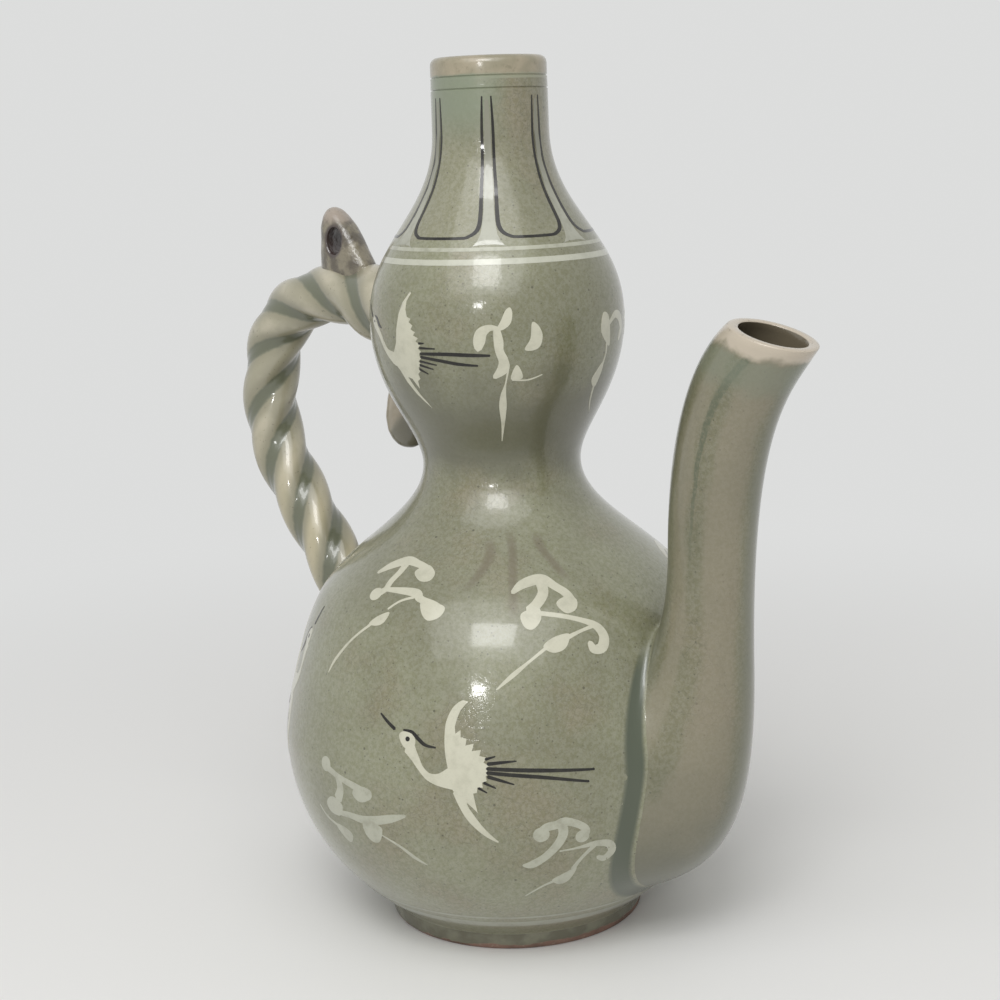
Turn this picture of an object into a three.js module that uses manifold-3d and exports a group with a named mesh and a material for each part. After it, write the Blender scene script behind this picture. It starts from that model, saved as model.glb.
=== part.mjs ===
// A celadon ewer in the form of a double gourd, with a twisted vine handle and a long spout.
// It is built as a potter builds it: two thrown bulbs, a neck and a lip coil joined end to end on a turned
// foot, and a spout, a handle of three clay strands, a cord loop and a vine tail set on with slip.
// Millimetres. +Z is up, the spout points along +X and the handle along -X.

import * as THREE from 'three';
import { mergeVertices } from 'three/addons/utils/BufferGeometryUtils.js';
import Module from 'manifold-3d';

const wasm = await Module();
wasm.setup();

// Clay walls and the clearance that stands for the slip between two joined pieces
const wall = 4.4;
const floorThickness = 6;
const jointGap = 0.3;

// Foot
const footRadius = 42;
const footTopRadius = 43.1;
const footHeight = 5.6;
const footRingWidth = 6;
const footEdgeChamfer = 0.8;

// Lower bulb: the outline swells from the foot to the belly, then falls over the shoulder to the waist
const footFlareOut = 3.0;
const footFlareUp = 4.4;
const bellyRadius = 74.9;
const bellyHeight = 64.5;
const bellyPullDown = 38.8;
const bellyPullUp = 6;
const shoulderRadius = 61.4;
const shoulderHeight = 110.3;
const shoulderRunIn = 7.1;
const shoulderRise = 11.4;
const shoulderStretch = 1.35;
const waistRadius = 25.7;
const waistHeight = 152;
const waistPullDown = 16.2;

// Upper bulb and neck
const waistPullUp = 11.3;
const upperBellyRadius = 40.9;
const upperBellyHeight = 198.5;
const upperBellyPullDown = 23.6;
const upperBellyPullUp = 26.4;
const neckRadius = 18.5;
const neckRise = 59;
const neckHeight = upperBellyHeight + neckRise;
const neckPullDown = 25.8;
const collarHeight = 22.5;
const mouthHeight = neckHeight + collarHeight;

// Lip
const lipRadius = 18.3;
const lipDepth = 7.2;
const lipOuterRound = 2.4;
const lipInnerRound = 1.6;

// Spout: two curves in the plane of the ewer give its far side and its near side
const spoutWall = 3.2;
const spoutFarRoot = [44.0, 14.4];
const spoutFarRootRun = [28.3, 8.8];
const spoutFarKnee = [93.5, 97.5];
const spoutFarPullDown = 67.9;
const spoutFarPullUp = 74.8;
const spoutFarTip = [116.3, 193.5];
const spoutFarTipRun = [9.4, 14.1];
const spoutNearRoot = [54.5, 97.2];
const spoutNearRootRun = [4.6, 4.3];
const spoutNearKnee = [67.7, 132.5];
const spoutNearPullDown = 35.8;
const spoutNearPullUp = 23.7;
const spoutNearTip = [90.3, 201.7];
const spoutNearTipRun = [17.5, 12.6];
const spoutRootHalfWidth = 47;
const spoutSwellHalfWidth = 19.2;
const spoutKneeHalfWidth = 12.7;
const spoutMouthHalfWidth = 13.2;
const spoutHoleRadius = 10;
const spoutHoleHeight = 52;
const spoutHoleReach = 22;

// Handle: a rope of three strands on a path from the upper bulb over the crown to the shoulder
const handleTopRoot = [26, 192.2];
const handleTopRun = [26.3, 13.2];
const handleReach = [108, 162.9];
const handlePullUp = 55.5;
const handlePullDown = 21.7;
const handleLowSink = 12.5;
const handleLowRise = 16.2;
const handleLowRoot = [bellyRadius - handleLowSink, bellyHeight + handleLowRise];
const handleLowRun = [25.9, 46.1];
const ropeRadius = 10.2;
const rootFlare = 2.9;
const rootFlareStart = 26;
const rootFlareEnd = 42;
const strandCount = 3;
const strandShift = 0.32;
const layTopTurnLength = 57.05;
const layLowTurnLength = 76.76;
const layStartTurns = -0.55;

// Slip beads that close the joints of the spout and the handle
const spoutBead = 2.0;
const handleBead = 1.8;

// Cord loop on the crown of the handle
const loopThickness = 11;
const loopFootAt = 65;
const loopFootWidth = 20;
const loopLean = 5.3;
const loopRise = 29.1;
const loopFaceRun = [3.5, 11];
const loopTipRun = 4.5;
const loopBackRun = 1.4;
const loopBackDrop = 17;
const loopHoleLean = 2.3;
const loopHoleRise = 19;
const loopHoleHalfWidth = 3.2;
const loopHoleHalfHeight = 4.4;
const loopEdgeRound = 2;

// Vine tail that hangs from the root of the handle
const tailTopHeight = 190;
const tailTopFar = 43;
const tailTopNear = 30;
const tailFar = 50;
const tailNear = 33;
const tailEndHeight = 152.2;
const tailEndAt = 41.5;
const tailHalfThickness = 5.2;
const tailWidestHeight = 164;
const tailWidening = { across: 0.85, down: 0.6 };
const tailClosing = { across: 0.3, down: 0.75 };
const tailTipShare = 0.85;

// Inlaid bands of white clay: how deep they lie, and where each starts and ends on the outline
const inlayDepth = 0.9;
const aboveUpperBelly = (rise) => upperBellyHeight + rise;
const shoulderLineThick = [19.1, 21.3].map(aboveUpperBelly);
const shoulderLineThin = [23.3, 24.4].map(aboveUpperBelly);
const neckJoinGap = 1.9;
const neckJoinHeight = shoulderLineThin[1] + neckJoinGap;
const footLineThick = [11.4, 14.2];
const footLineThin = [16.2, 17.2];

// Inlaid upright strips between the panels of the neck, divided by eye
const stripTurnDegrees = [-110.5, -53, -0.8, 61.8, 124.4, 187];
const stripFootGap = 3.6;
const stripFootHeight = shoulderLineThin[1] + stripFootGap;
const stripTopDrop = 12;
const stripTopHeight = mouthHeight - stripTopDrop;
const stripFootWidth = 4.4;
const stripTopWidth = 2.2;

// How finely the round shapes are cut into flats
const turnSegments = 36;
const lipCornerSteps = 3;
const holeSides = 20;
const spoutSides = 20;
const spoutSteps = 11;
const spoutBoreSides = 16;
const spoutBoreSteps = 9;
const lobeSteps = 6;
const ropeStep = 3.8;
const ropeSides = 16;
const loopCurveSteps = 5;
const loopEdgeSteps = 2;
const tailSides = 14;
const tailSteps = 8;

// Points nearer than this are one point, and a height is found on an outline to this share of it
const weldDistance = 1e-4;
const shareTolerance = 1e-9;

// Clays and glaze
const celadon = { color: 0x8f9178, roughness: 0.22, metalness: 0 };
const celadonWarm = { color: 0x94907c, roughness: 0.25, metalness: 0 };
const bareClay = { color: 0x7d6457, roughness: 0.8, metalness: 0 };
const lipClay = { color: 0x9d9484, roughness: 0.35, metalness: 0 };
const whiteSlip = { color: 0xc6c7b0, roughness: 0.3, metalness: 0 };
const darkGlaze = { color: 0x6f6a55, roughness: 0.15, metalness: 0 };

const lerp = THREE.MathUtils.lerp;
const quarterTurn = Math.PI / 2;

const ewer = new THREE.Group();

function solidOf(geometry) {
  geometry.deleteAttribute('normal');
  geometry.deleteAttribute('uv');
  const merged = mergeVertices(geometry, weldDistance);
  return new wasm.Manifold(
    new wasm.Mesh({
      numProp: 3,
      vertProperties: new Float32Array(merged.getAttribute('position').array),
      triVerts: new Uint32Array(merged.index.array),
    }),
  );
}

function addPiece(name, solid, finish) {
  const mesh = solid.getMesh();
  const geometry = new THREE.BufferGeometry();
  geometry.setAttribute('position', new THREE.BufferAttribute(mesh.vertProperties, 3));
  geometry.setIndex(new THREE.BufferAttribute(mesh.triVerts, 1));
  geometry.computeVertexNormals();
  const piece = new THREE.Mesh(geometry, new THREE.MeshStandardMaterial(finish));
  piece.name = name;
  ewer.add(piece);
}

// A solid turned about the body's axis from a closed outline of (radius, height) points.
function turned(outline) {
  const geometry = new THREE.LatheGeometry(outline, turnSegments);
  geometry.rotateX(quarterTurn);
  return solidOf(geometry);
}

function closedOutline(points) {
  return [...points, points[0]];
}

const point = (across, up) => new THREE.Vector2(across, up);

function bend(start, startControl, endControl, end) {
  return new THREE.CubicBezierCurve(start, startControl, endControl, end);
}

// The outline of the body, one curve from each station to the next
const footTop = point(footTopRadius, footHeight);
const belly = point(bellyRadius, bellyHeight);
const shoulder = point(shoulderRadius, shoulderHeight);
const waist = point(waistRadius, waistHeight);
const upperBelly = point(upperBellyRadius, upperBellyHeight);
const neck = point(neckRadius, neckHeight);
const lipJoinHeight = mouthHeight - lipDepth;
const lipFoot = point(lipRadius, lipJoinHeight);

const swellCurve = bend(
  footTop,
  point(footTopRadius + footFlareOut, footHeight + footFlareUp),
  point(bellyRadius, bellyHeight - bellyPullDown),
  belly,
);
const shoulderCurve = bend(
  belly,
  point(bellyRadius, bellyHeight + bellyPullUp),
  point(shoulderRadius + shoulderRunIn, shoulderHeight - shoulderRise),
  shoulder,
);
const waistCurve = bend(
  shoulder,
  point(
    shoulderRadius - shoulderRunIn * shoulderStretch,
    shoulderHeight + shoulderRise * shoulderStretch,
  ),
  point(waistRadius, waistHeight - waistPullDown),
  waist,
);
const upperSwellCurve = bend(
  waist,
  point(waistRadius, waistHeight + waistPullUp),
  point(upperBellyRadius, upperBellyHeight - upperBellyPullDown),
  upperBelly,
);
const neckCurve = bend(
  upperBelly,
  point(upperBellyRadius, upperBellyHeight + upperBellyPullUp),
  point(neckRadius, neckHeight - neckPullDown),
  neck,
);
const collarCurve = bend(
  neck,
  neck.clone().lerp(lipFoot, 1 / 3),
  neck.clone().lerp(lipFoot, 2 / 3),
  lipFoot,
);

// The share of a rising curve at which it passes a height, or with side x a distance from the axis.
function shareAt(curve, place, side = 'y') {
  let below = 0;
  let above = 1;
  while (above - below > shareTolerance) {
    const middle = (below + above) / 2;
    if (curve.getPoint(middle)[side] < place) below = middle;
    else above = middle;
  }
  return above;
}

// Points along part of a curve, moved out from the wall by an offset, which is negative inside it.
function wallLine(curve, steps, offset, from = 0, to = 1) {
  return Array.from({ length: steps + 1 }, (_, i) => {
    const share = lerp(from, to, i / steps);
    const along = curve.getTangent(share);
    return curve.getPoint(share).add(point(along.y, -along.x).multiplyScalar(offset));
  });
}

const neckJoinShare = shareAt(neckCurve, neckJoinHeight);

// Steps for each curve of the outline: its outer face is cut finer than the hidden inner face.
const lowerCurves = [
  { curve: swellCurve, outer: 8, inner: 4, bands: [footLineThick, footLineThin] },
  { curve: shoulderCurve, outer: 4, inner: 2 },
  { curve: waistCurve, outer: 7, inner: 4 },
];
const upperCurves = [
  { curve: upperSwellCurve, outer: 6, inner: 4 },
  {
    curve: neckCurve,
    outer: 5,
    inner: 3,
    to: neckJoinShare,
    bands: [shoulderLineThick, shoulderLineThin],
  },
];
const neckCurves = [
  { curve: neckCurve, outer: 6, inner: 4, from: neckJoinShare },
  { curve: collarCurve, outer: 2, inner: 1 },
];

function lineAlong(curves, side, offset) {
  return curves.flatMap((part, i) => {
    const line = wallLine(part.curve, part[side], offset, part.from, part.to);
    return i === 0 ? line : line.slice(1);
  });
}

// The outer line of a shell, let in where each band of white clay lies.
function groovedLine(curves) {
  return curves.flatMap(({ curve, outer, from = 0, to = 1, bands = [] }, i) => {
    const line = [];
    const rise = (start, end) => {
      const steps = Math.ceil((outer * (end - start)) / (to - from));
      line.push(...wallLine(curve, steps, 0, start, end));
    };
    let start = from;
    for (const [low, high] of bands) {
      const end = shareAt(curve, low - jointGap);
      rise(start, end);
      start = shareAt(curve, high + jointGap);
      line.push(...wallLine(curve, 1, -inlayDepth - jointGap, end, start));
    }
    rise(start, to);
    return i === 0 ? line : line.slice(1);
  });
}

// A thrown shell: the outer line going up, then the inner line coming down, drawn in from both joints.
function thrownShell(curves) {
  const outer = groovedLine(curves);
  const inner = lineAlong(curves, 'inner', -wall);
  for (const line of [outer, inner]) {
    line[0].y += jointGap / 2;
    line.at(-1).y -= jointGap / 2;
  }
  return turned(closedOutline([...outer, ...inner.reverse()]));
}

// The whole body without its hollow, grown by a clearance, for cutting what sits against it.
function bodyCore(growth) {
  const line = lineAlong([...lowerCurves, ...upperCurves, ...neckCurves], 'outer', growth);
  return turned([point(0, 0), point(footRadius, 0), ...line, point(0, mouthHeight)]);
}
const bodyClear = bodyCore(jointGap);

// A band of white clay that fills its groove flush with the wall.
function inlaidBand(curve, [low, high]) {
  const face = (offset) => wallLine(curve, 1, offset, shareAt(curve, low), shareAt(curve, high));
  return turned(closedOutline([...face(0), ...face(-inlayDepth).reverse()]));
}

// A closed skin over a row of rings, each with as many points as the next. Each patch is cut along the
// diagonal that sinks under a right-hand twist, so that strands laid side by side stay clear of each other.
function skin(rings) {
  const sides = rings[0].length;
  const middleOf = (ring) =>
    ring.reduce((sum, p) => sum.add(p), new THREE.Vector3()).divideScalar(sides);
  const points = [...rings.flat(), middleOf(rings[0]), middleOf(rings.at(-1))];
  const startCap = rings.length * sides;
  const lastRing = (rings.length - 1) * sides;
  const faces = [];
  for (let side = 0; side < sides; side++) {
    const next = (side + 1) % sides;
    for (let row = 0; row < rings.length - 1; row++) {
      const here = row * sides;
      faces.push(here + side, here + next, here + sides + next);
      faces.push(here + side, here + sides + next, here + sides + side);
    }
    faces.push(startCap, next, side);
    faces.push(startCap + 1, lastRing + side, lastRing + next);
  }
  const geometry = new THREE.BufferGeometry().setFromPoints(points);
  geometry.setIndex(faces);
  return solidOf(geometry);
}

// A tube whose sections span from a near line to a far line in the ewer's plane. The lines are rows of
// (distance from the axis, height) points, and toward is +1 on the spout's side and -1 on the handle's.
function railTube(near, far, halfWidths, growth, sides, toward) {
  const rings = near.map((inside, row) => {
    const middle = inside.clone().add(far[row]).multiplyScalar(0.5);
    const half = far[row].clone().sub(inside).multiplyScalar(0.5);
    const reach = half.length() + growth;
    half.setLength(reach);
    return Array.from({ length: sides }, (_, side) => {
      const turn = (side / sides) * 2 * Math.PI;
      const along = middle.clone().addScaledVector(half, Math.cos(turn));
      const across = (halfWidths[row] + growth) * Math.sin(turn);
      return new THREE.Vector3(toward * along.x, toward * across, along.y);
    });
  });
  return skin(rings);
}

// Foot and lower bulb
function makeFootRing() {
  const top = footHeight - jointGap / 2;
  const inner = footRadius - footRingWidth;
  return turned(
    closedOutline([
      point(inner + footEdgeChamfer, 0),
      point(footRadius - footEdgeChamfer, 0),
      point(footRadius, footEdgeChamfer),
      point(footTopRadius, top),
      point(footTopRadius - footRingWidth, top),
      point(inner, footEdgeChamfer),
    ]),
  );
}

function makeLowerBulb() {
  const outer = groovedLine(lowerCurves);
  const base = footHeight + jointGap / 2;
  const floorTop = base + floorThickness;
  outer[0].y = base;
  outer.at(-1).y -= jointGap / 2;
  const inner = lineAlong(lowerCurves, 'inner', -wall).filter((p) => p.y > floorTop);
  inner.at(-1).y -= jointGap / 2;
  const shell = turned([point(0, base), ...outer, ...inner.reverse(), point(0, floorTop)]);
  const hole = new THREE.CylinderGeometry(
    spoutHoleRadius,
    spoutHoleRadius,
    spoutHoleReach,
    holeSides,
  );
  hole.rotateZ(quarterTurn);
  hole.translate(bellyRadius, 0, spoutHoleHeight);
  return shell.subtract(solidOf(hole));
}

// Neck and lip. A wedge through the neck wall bounds each upright strip.
function stripWedge(turn, clearance) {
  const foot = stripFootWidth / 2 + clearance;
  const top = stripTopWidth / 2 + clearance;
  const face = new THREE.Shape([
    point(-foot, stripFootHeight - clearance),
    point(foot, stripFootHeight - clearance),
    point(top, stripTopHeight + clearance),
    point(-top, stripTopHeight + clearance),
  ]);
  const wedge = new THREE.ExtrudeGeometry(face, { depth: upperBellyRadius, bevelEnabled: false });
  wedge.rotateX(quarterTurn);
  wedge.rotateZ(quarterTurn + turn);
  return solidOf(wedge);
}

// A sleeve round the neck from one offset of its wall to another.
function neckSleeve(outerOffset, innerOffset) {
  const outer = lineAlong(neckCurves, 'outer', outerOffset);
  const inner = lineAlong(neckCurves, 'outer', innerOffset);
  return turned(closedOutline([...outer, ...inner.reverse()]));
}

const stripTurns = stripTurnDegrees.map(THREE.MathUtils.degToRad);

function makeNeck() {
  const skinDeep = neckSleeve(wall, -inlayDepth - jointGap);
  return stripTurns.reduce(
    (made, turn) => made.subtract(stripWedge(turn, jointGap).intersect(skinDeep)),
    thrownShell(neckCurves),
  );
}

function makeLip() {
  const low = lipJoinHeight + jointGap / 2;
  const inner = lipRadius - wall;
  const corner = (round, across, up, from, to) =>
    new THREE.EllipseCurve(across, up, round, round, from, to).getPoints(lipCornerSteps);
  return turned(
    closedOutline([
      point(inner, low),
      point(lipRadius, low),
      ...corner(lipOuterRound, lipRadius - lipOuterRound, mouthHeight - lipOuterRound, 0, quarterTurn),
      ...corner(lipInnerRound, inner + lipInnerRound, mouthHeight - lipInnerRound, quarterTurn, Math.PI),
    ]),
  );
}

// Spout
const at = ([across, up], runAcross = 0, runUp = 0) => point(across + runAcross, up + runUp);

const spoutFar = [
  bend(
    at(spoutFarRoot),
    at(spoutFarRoot, ...spoutFarRootRun),
    at(spoutFarKnee, 0, -spoutFarPullDown),
    at(spoutFarKnee),
  ),
  bend(
    at(spoutFarKnee),
    at(spoutFarKnee, 0, spoutFarPullUp),
    at(spoutFarTip, -spoutFarTipRun[0], -spoutFarTipRun[1]),
    at(spoutFarTip),
  ),
];
const spoutNear = [
  bend(
    at(spoutNearRoot),
    at(spoutNearRoot, ...spoutNearRootRun),
    at(spoutNearKnee, 0, -spoutNearPullDown),
    at(spoutNearKnee),
  ),
  bend(
    at(spoutNearKnee),
    at(spoutNearKnee, 0, spoutNearPullUp),
    at(spoutNearTip, -spoutNearTipRun[0], -spoutNearTipRun[1]),
    at(spoutNearTip),
  ),
];

function spoutTube(growth, sides, steps, mouthExtra) {
  const rail = ([low, high]) => [...low.getPoints(steps), ...high.getPoints(steps).slice(1)];
  const near = rail(spoutNear);
  const far = rail(spoutFar);
  const lowWidths = new THREE.QuadraticBezierCurve(
    point(0, spoutRootHalfWidth),
    point(0, spoutSwellHalfWidth),
    point(0, spoutKneeHalfWidth),
  );
  const widths = near.map((_, row) => {
    const share = row / steps;
    if (share <= 1) return lowWidths.getPoint(share).y;
    const eased = THREE.MathUtils.smoothstep(share - 1, 0, 1);
    return lerp(spoutKneeHalfWidth, spoutMouthHalfWidth, eased);
  });
  if (mouthExtra) {
    const lip = far.at(-1).clone().sub(near.at(-1)).setLength(mouthExtra);
    const out = point(-lip.y, lip.x);
    near.push(near.at(-1).clone().add(out));
    far.push(far.at(-1).clone().add(out));
    widths.push(spoutMouthHalfWidth);
  }
  return railTube(near, far, widths, growth, sides, 1);
}

function makeSpout() {
  return spoutTube(0, spoutSides, spoutSteps, 0)
    .subtract(bodyClear)
    .subtract(spoutTube(-spoutWall, spoutBoreSides, spoutBoreSteps, wall));
}

function makeSpoutBead() {
  return spoutTube(spoutBead, spoutSides, spoutSteps, 0)
    .intersect(bodyCore(spoutBead))
    .subtract(bodyClear)
    .subtract(spoutTube(jointGap, spoutSides, spoutSteps, 0));
}

// Handle
const crownCurve = bend(
  at(handleTopRoot),
  at(handleTopRoot, ...handleTopRun),
  at(handleReach, 0, handlePullUp),
  at(handleReach),
);
const returnCurve = bend(
  at(handleReach),
  at(handleReach, 0, -handlePullDown),
  at(handleLowRoot, ...handleLowRun),
  at(handleLowRoot),
);
const handlePath = new THREE.CurvePath();
for (const { v0, v1, v2, v3 } of [crownCurve, returnCurve]) {
  const behind = [v0, v1, v2, v3].map((place) => new THREE.Vector3(-place.x, 0, place.y));
  handlePath.add(new THREE.CubicBezierCurve3(...behind));
}
const handleLength = handlePath.getLength();

function radiusAt(along) {
  return ropeRadius + rootFlare * (1 - THREE.MathUtils.smoothstep(along, rootFlareStart, rootFlareEnd));
}

// The turn of the strands: their lay is short at the top of the handle and eases towards the low root.
function layAngle(along) {
  const ease = (1 / layLowTurnLength - 1 / layTopTurnLength) / (2 * handleLength);
  return 2 * Math.PI * (layStartTurns + along / layTopTurnLength + ease * along * along);
}

// A solid on the handle's path, from a rule for its section, a ring of (outward, across) points.
function alongHandle(sectionAt) {
  const steps = Math.ceil(handleLength / ropeStep);
  const across = new THREE.Vector3(0, 1, 0);
  const rings = Array.from({ length: steps + 1 }, (_, step) => {
    const share = step / steps;
    const middle = handlePath.getPointAt(share);
    const outward = across.clone().cross(handlePath.getTangentAt(share)).normalize();
    return sectionAt(share * handleLength).map((p) =>
      middle.clone().addScaledVector(outward, p.x).addScaledVector(across, p.y),
    );
  });
  return skin(rings);
}

// Each strand fills a sector of the rope, under a round lobe whose centre is shifted from the rope's.
const sectorHalf = Math.PI / strandCount;
const strandIndexes = Array.from({ length: strandCount }, (_, i) => i);
const laidAt = (along, index) => layAngle(along) + 2 * sectorHalf * index;
const origin = point(0, 0);

function lobe(radius, growth) {
  const shift = radius * strandShift;
  const round = radius - shift + growth;
  const half = sectorHalf + Math.asin((shift / round) * Math.sin(sectorHalf));
  return Array.from({ length: lobeSteps + 1 }, (_, i) => {
    const angle = half * ((2 * i) / lobeSteps - 1);
    return point(shift + round * Math.cos(angle), round * Math.sin(angle));
  });
}

function makeStrand(index) {
  const apart = point(jointGap / 2 / Math.sin(sectorHalf), 0);
  return alongHandle((along) =>
    [origin, ...lobe(radiusAt(along), 0)].map((p) =>
      p.clone().add(apart).rotateAround(origin, laidAt(along, index)),
    ),
  ).subtract(bodyClear);
}

// The three lobes as one solid, with the clearance round them, for cutting what sits against the rope.
const ropeClear = alongHandle((along) =>
  strandIndexes.flatMap((index) =>
    lobe(radiusAt(along), jointGap)
      .slice(1)
      .map((p) => p.rotateAround(origin, laidAt(along, index))),
  ),
);

// A round tube on the handle's path that is thicker than the rope by a growth.
function roundTube(growth) {
  return alongHandle((along) =>
    Array.from({ length: ropeSides }, (_, side) =>
      point(radiusAt(along) + growth, 0).rotateAround(origin, (side / ropeSides) * 2 * Math.PI),
    ),
  );
}

// A slip bead round one root of the handle: the box above or below the waist keeps that root alone.
function makeHandleBead(isUpper) {
  const width = 2 * handleReach[0];
  const box = new THREE.BoxGeometry(width, width, mouthHeight);
  box.translate(-width / 2, 0, waistHeight + (isUpper ? mouthHeight / 2 : -mouthHeight / 2));
  return roundTube(handleBead)
    .intersect(bodyCore(handleBead))
    .intersect(solidOf(box))
    .subtract(bodyClear)
    .subtract(ropeClear);
}

// Cord loop: an upright ear with a hole across it, whose foot lies on the middle line of the rope
function makeCordLoop() {
  const foot = crownCurve.getPoint(shareAt(crownCurve, loopFootAt, 'x'));
  const half = loopFootWidth / 2 - loopEdgeRound;
  const face = -foot.x + half;
  const back = -foot.x - half;
  const tip = -foot.x - loopLean;
  const top = foot.y + loopRise - loopEdgeRound;
  const [faceIn, faceUp] = loopFaceRun;
  const ear = new THREE.Shape();
  ear.moveTo(back, foot.y);
  ear.lineTo(face, foot.y);
  ear.bezierCurveTo(face - faceIn, foot.y + faceUp, tip + loopTipRun, top, tip, top);
  ear.bezierCurveTo(tip - loopBackRun, top, back, top - loopTipRun, back, top - loopBackDrop);
  const plate = new THREE.ExtrudeGeometry(ear, {
    depth: loopThickness - 2 * loopEdgeRound,
    bevelSize: loopEdgeRound,
    bevelThickness: loopEdgeRound,
    bevelSegments: loopEdgeSteps,
    curveSegments: loopCurveSteps,
  });
  plate.translate(0, 0, loopEdgeRound - loopThickness / 2);
  plate.rotateX(quarterTurn);
  const hole = new THREE.CylinderGeometry(1, 1, 2 * loopThickness, holeSides);
  hole.scale(loopHoleHalfWidth, 1, loopHoleHalfHeight);
  hole.translate(-foot.x - loopHoleLean, 0, foot.y + loopHoleRise);
  return solidOf(plate).subtract(solidOf(hole)).subtract(ropeClear).subtract(bodyClear);
}

// Vine tail: a rounded bud below the root of the handle
function makeVineTail() {
  const fall = (top, widest) =>
    new THREE.CatmullRomCurve3([
      new THREE.Vector3(top, tailTopHeight, 0),
      new THREE.Vector3(
        lerp(top, widest, tailWidening.across),
        lerp(tailTopHeight, tailWidestHeight, tailWidening.down),
        0,
      ),
      new THREE.Vector3(widest, tailWidestHeight, 0),
      new THREE.Vector3(
        lerp(widest, tailEndAt, tailClosing.across),
        lerp(tailWidestHeight, tailEndHeight, tailClosing.down),
        0,
      ),
      new THREE.Vector3(lerp(widest, tailEndAt, tailTipShare), tailEndHeight, 0),
    ]);
  const line = (top, widest) =>
    fall(top, widest)
      .getPoints(tailSteps)
      .map((p) => point(p.x, p.y))
      .reverse();
  const near = line(tailTopNear, tailNear);
  const far = line(tailTopFar, tailFar);
  const halfWidest = (tailFar - tailNear) / 2;
  const widths = near.map((inside, row) => {
    const share = Math.min(1, inside.distanceTo(far[row]) / 2 / halfWidest);
    return tailHalfThickness * share;
  });
  return railTube(near, far, widths, 0, tailSides, -1)
    .subtract(bodyClear)
    .subtract(roundTube(handleBead + jointGap));
}

addPiece('foot_ring', makeFootRing(), bareClay);
addPiece('lower_bulb', makeLowerBulb(), celadon);
addPiece('upper_bulb', thrownShell(upperCurves), celadon);
addPiece('neck', makeNeck(), celadon);
addPiece('mouth_rim', makeLip(), lipClay);
addPiece('spout', makeSpout(), celadonWarm);
addPiece('spout_slip_bead', makeSpoutBead(), celadon);
for (const i of strandIndexes) {
  addPiece(`handle_strand_${i + 1}`, makeStrand(i), celadonWarm);
}
addPiece('handle_upper_slip_bead', makeHandleBead(true), celadon);
addPiece('handle_lower_slip_bead', makeHandleBead(false), celadon);
addPiece('cord_loop', makeCordLoop(), darkGlaze);
addPiece('vine_tail', makeVineTail(), celadonWarm);

const bands = {
  shoulder_line_thick: [neckCurve, shoulderLineThick],
  shoulder_line_thin: [neckCurve, shoulderLineThin],
  foot_line_thick: [swellCurve, footLineThick],
  foot_line_thin: [swellCurve, footLineThin],
};
for (const [name, [curve, heights]] of Object.entries(bands)) {
  addPiece(name, inlaidBand(curve, heights), whiteSlip);
}
const inlaySleeve = neckSleeve(0, -inlayDepth);
stripTurns.forEach((turn, i) => {
  addPiece(`neck_strip_${i + 1}`, stripWedge(turn, 0).intersect(inlaySleeve), whiteSlip);
});

// The origin is the middle of the ewer's footprint, on the surface that it stands on.
const reach = new THREE.Box3().setFromObject(ewer);
ewer.position.x = -(reach.min.x + reach.max.x) / 2;
ewer.position.y = -(reach.min.y + reach.max.y) / 2;

const part = new THREE.Group();
part.add(ewer);

export default part;
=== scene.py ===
import math
from bisect import bisect_right

import bmesh
import bpy
from mathutils import Matrix, Vector, geometry


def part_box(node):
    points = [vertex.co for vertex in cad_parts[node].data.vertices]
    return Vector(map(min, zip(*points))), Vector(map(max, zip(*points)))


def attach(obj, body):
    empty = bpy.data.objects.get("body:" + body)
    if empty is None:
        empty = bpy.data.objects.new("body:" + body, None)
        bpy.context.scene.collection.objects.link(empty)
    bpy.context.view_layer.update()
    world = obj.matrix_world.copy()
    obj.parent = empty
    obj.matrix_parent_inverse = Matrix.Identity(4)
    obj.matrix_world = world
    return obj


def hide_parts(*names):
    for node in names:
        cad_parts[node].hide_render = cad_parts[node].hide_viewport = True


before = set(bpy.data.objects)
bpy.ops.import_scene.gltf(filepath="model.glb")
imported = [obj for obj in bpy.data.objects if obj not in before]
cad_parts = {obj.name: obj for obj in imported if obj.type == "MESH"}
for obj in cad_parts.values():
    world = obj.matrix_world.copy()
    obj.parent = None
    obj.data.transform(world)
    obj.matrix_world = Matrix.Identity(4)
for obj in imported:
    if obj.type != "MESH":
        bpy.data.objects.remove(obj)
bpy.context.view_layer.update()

# View
# The camera stands in front of the ewer, a little above its shoulder, and looks down between the
# handle on the left and the spout on the right.
mm = 0.001
foot_low, foot_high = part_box("foot_ring")
axis_x = (foot_low[0] + foot_high[0]) / 2
view_distance = 0.5897
view_height = 0.258
view_side = math.radians(40)
view_aim = math.radians(40.11)
view_tilt = math.radians(78.541)
view_roll = math.radians(-2.025)
view_sensor = 36
view_lens = 66.06

camera_data = bpy.data.cameras.new("camera")
camera_data.sensor_width = view_sensor
camera_data.lens = view_lens
camera = bpy.data.objects.new("camera", camera_data)
camera.matrix_world = (
    Matrix.Translation((
        axis_x + view_distance * math.sin(view_side),
        -view_distance * math.cos(view_side),
        view_height,
    ))
    @ Matrix.Rotation(view_aim, 4, "Z")
    @ Matrix.Rotation(view_tilt, 4, "X")
    @ Matrix.Rotation(view_roll, 4, "Z")
)
bpy.context.collection.objects.link(camera)
scene = bpy.context.scene
scene.camera = camera
scene.view_settings.view_transform = "Standard"

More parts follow.
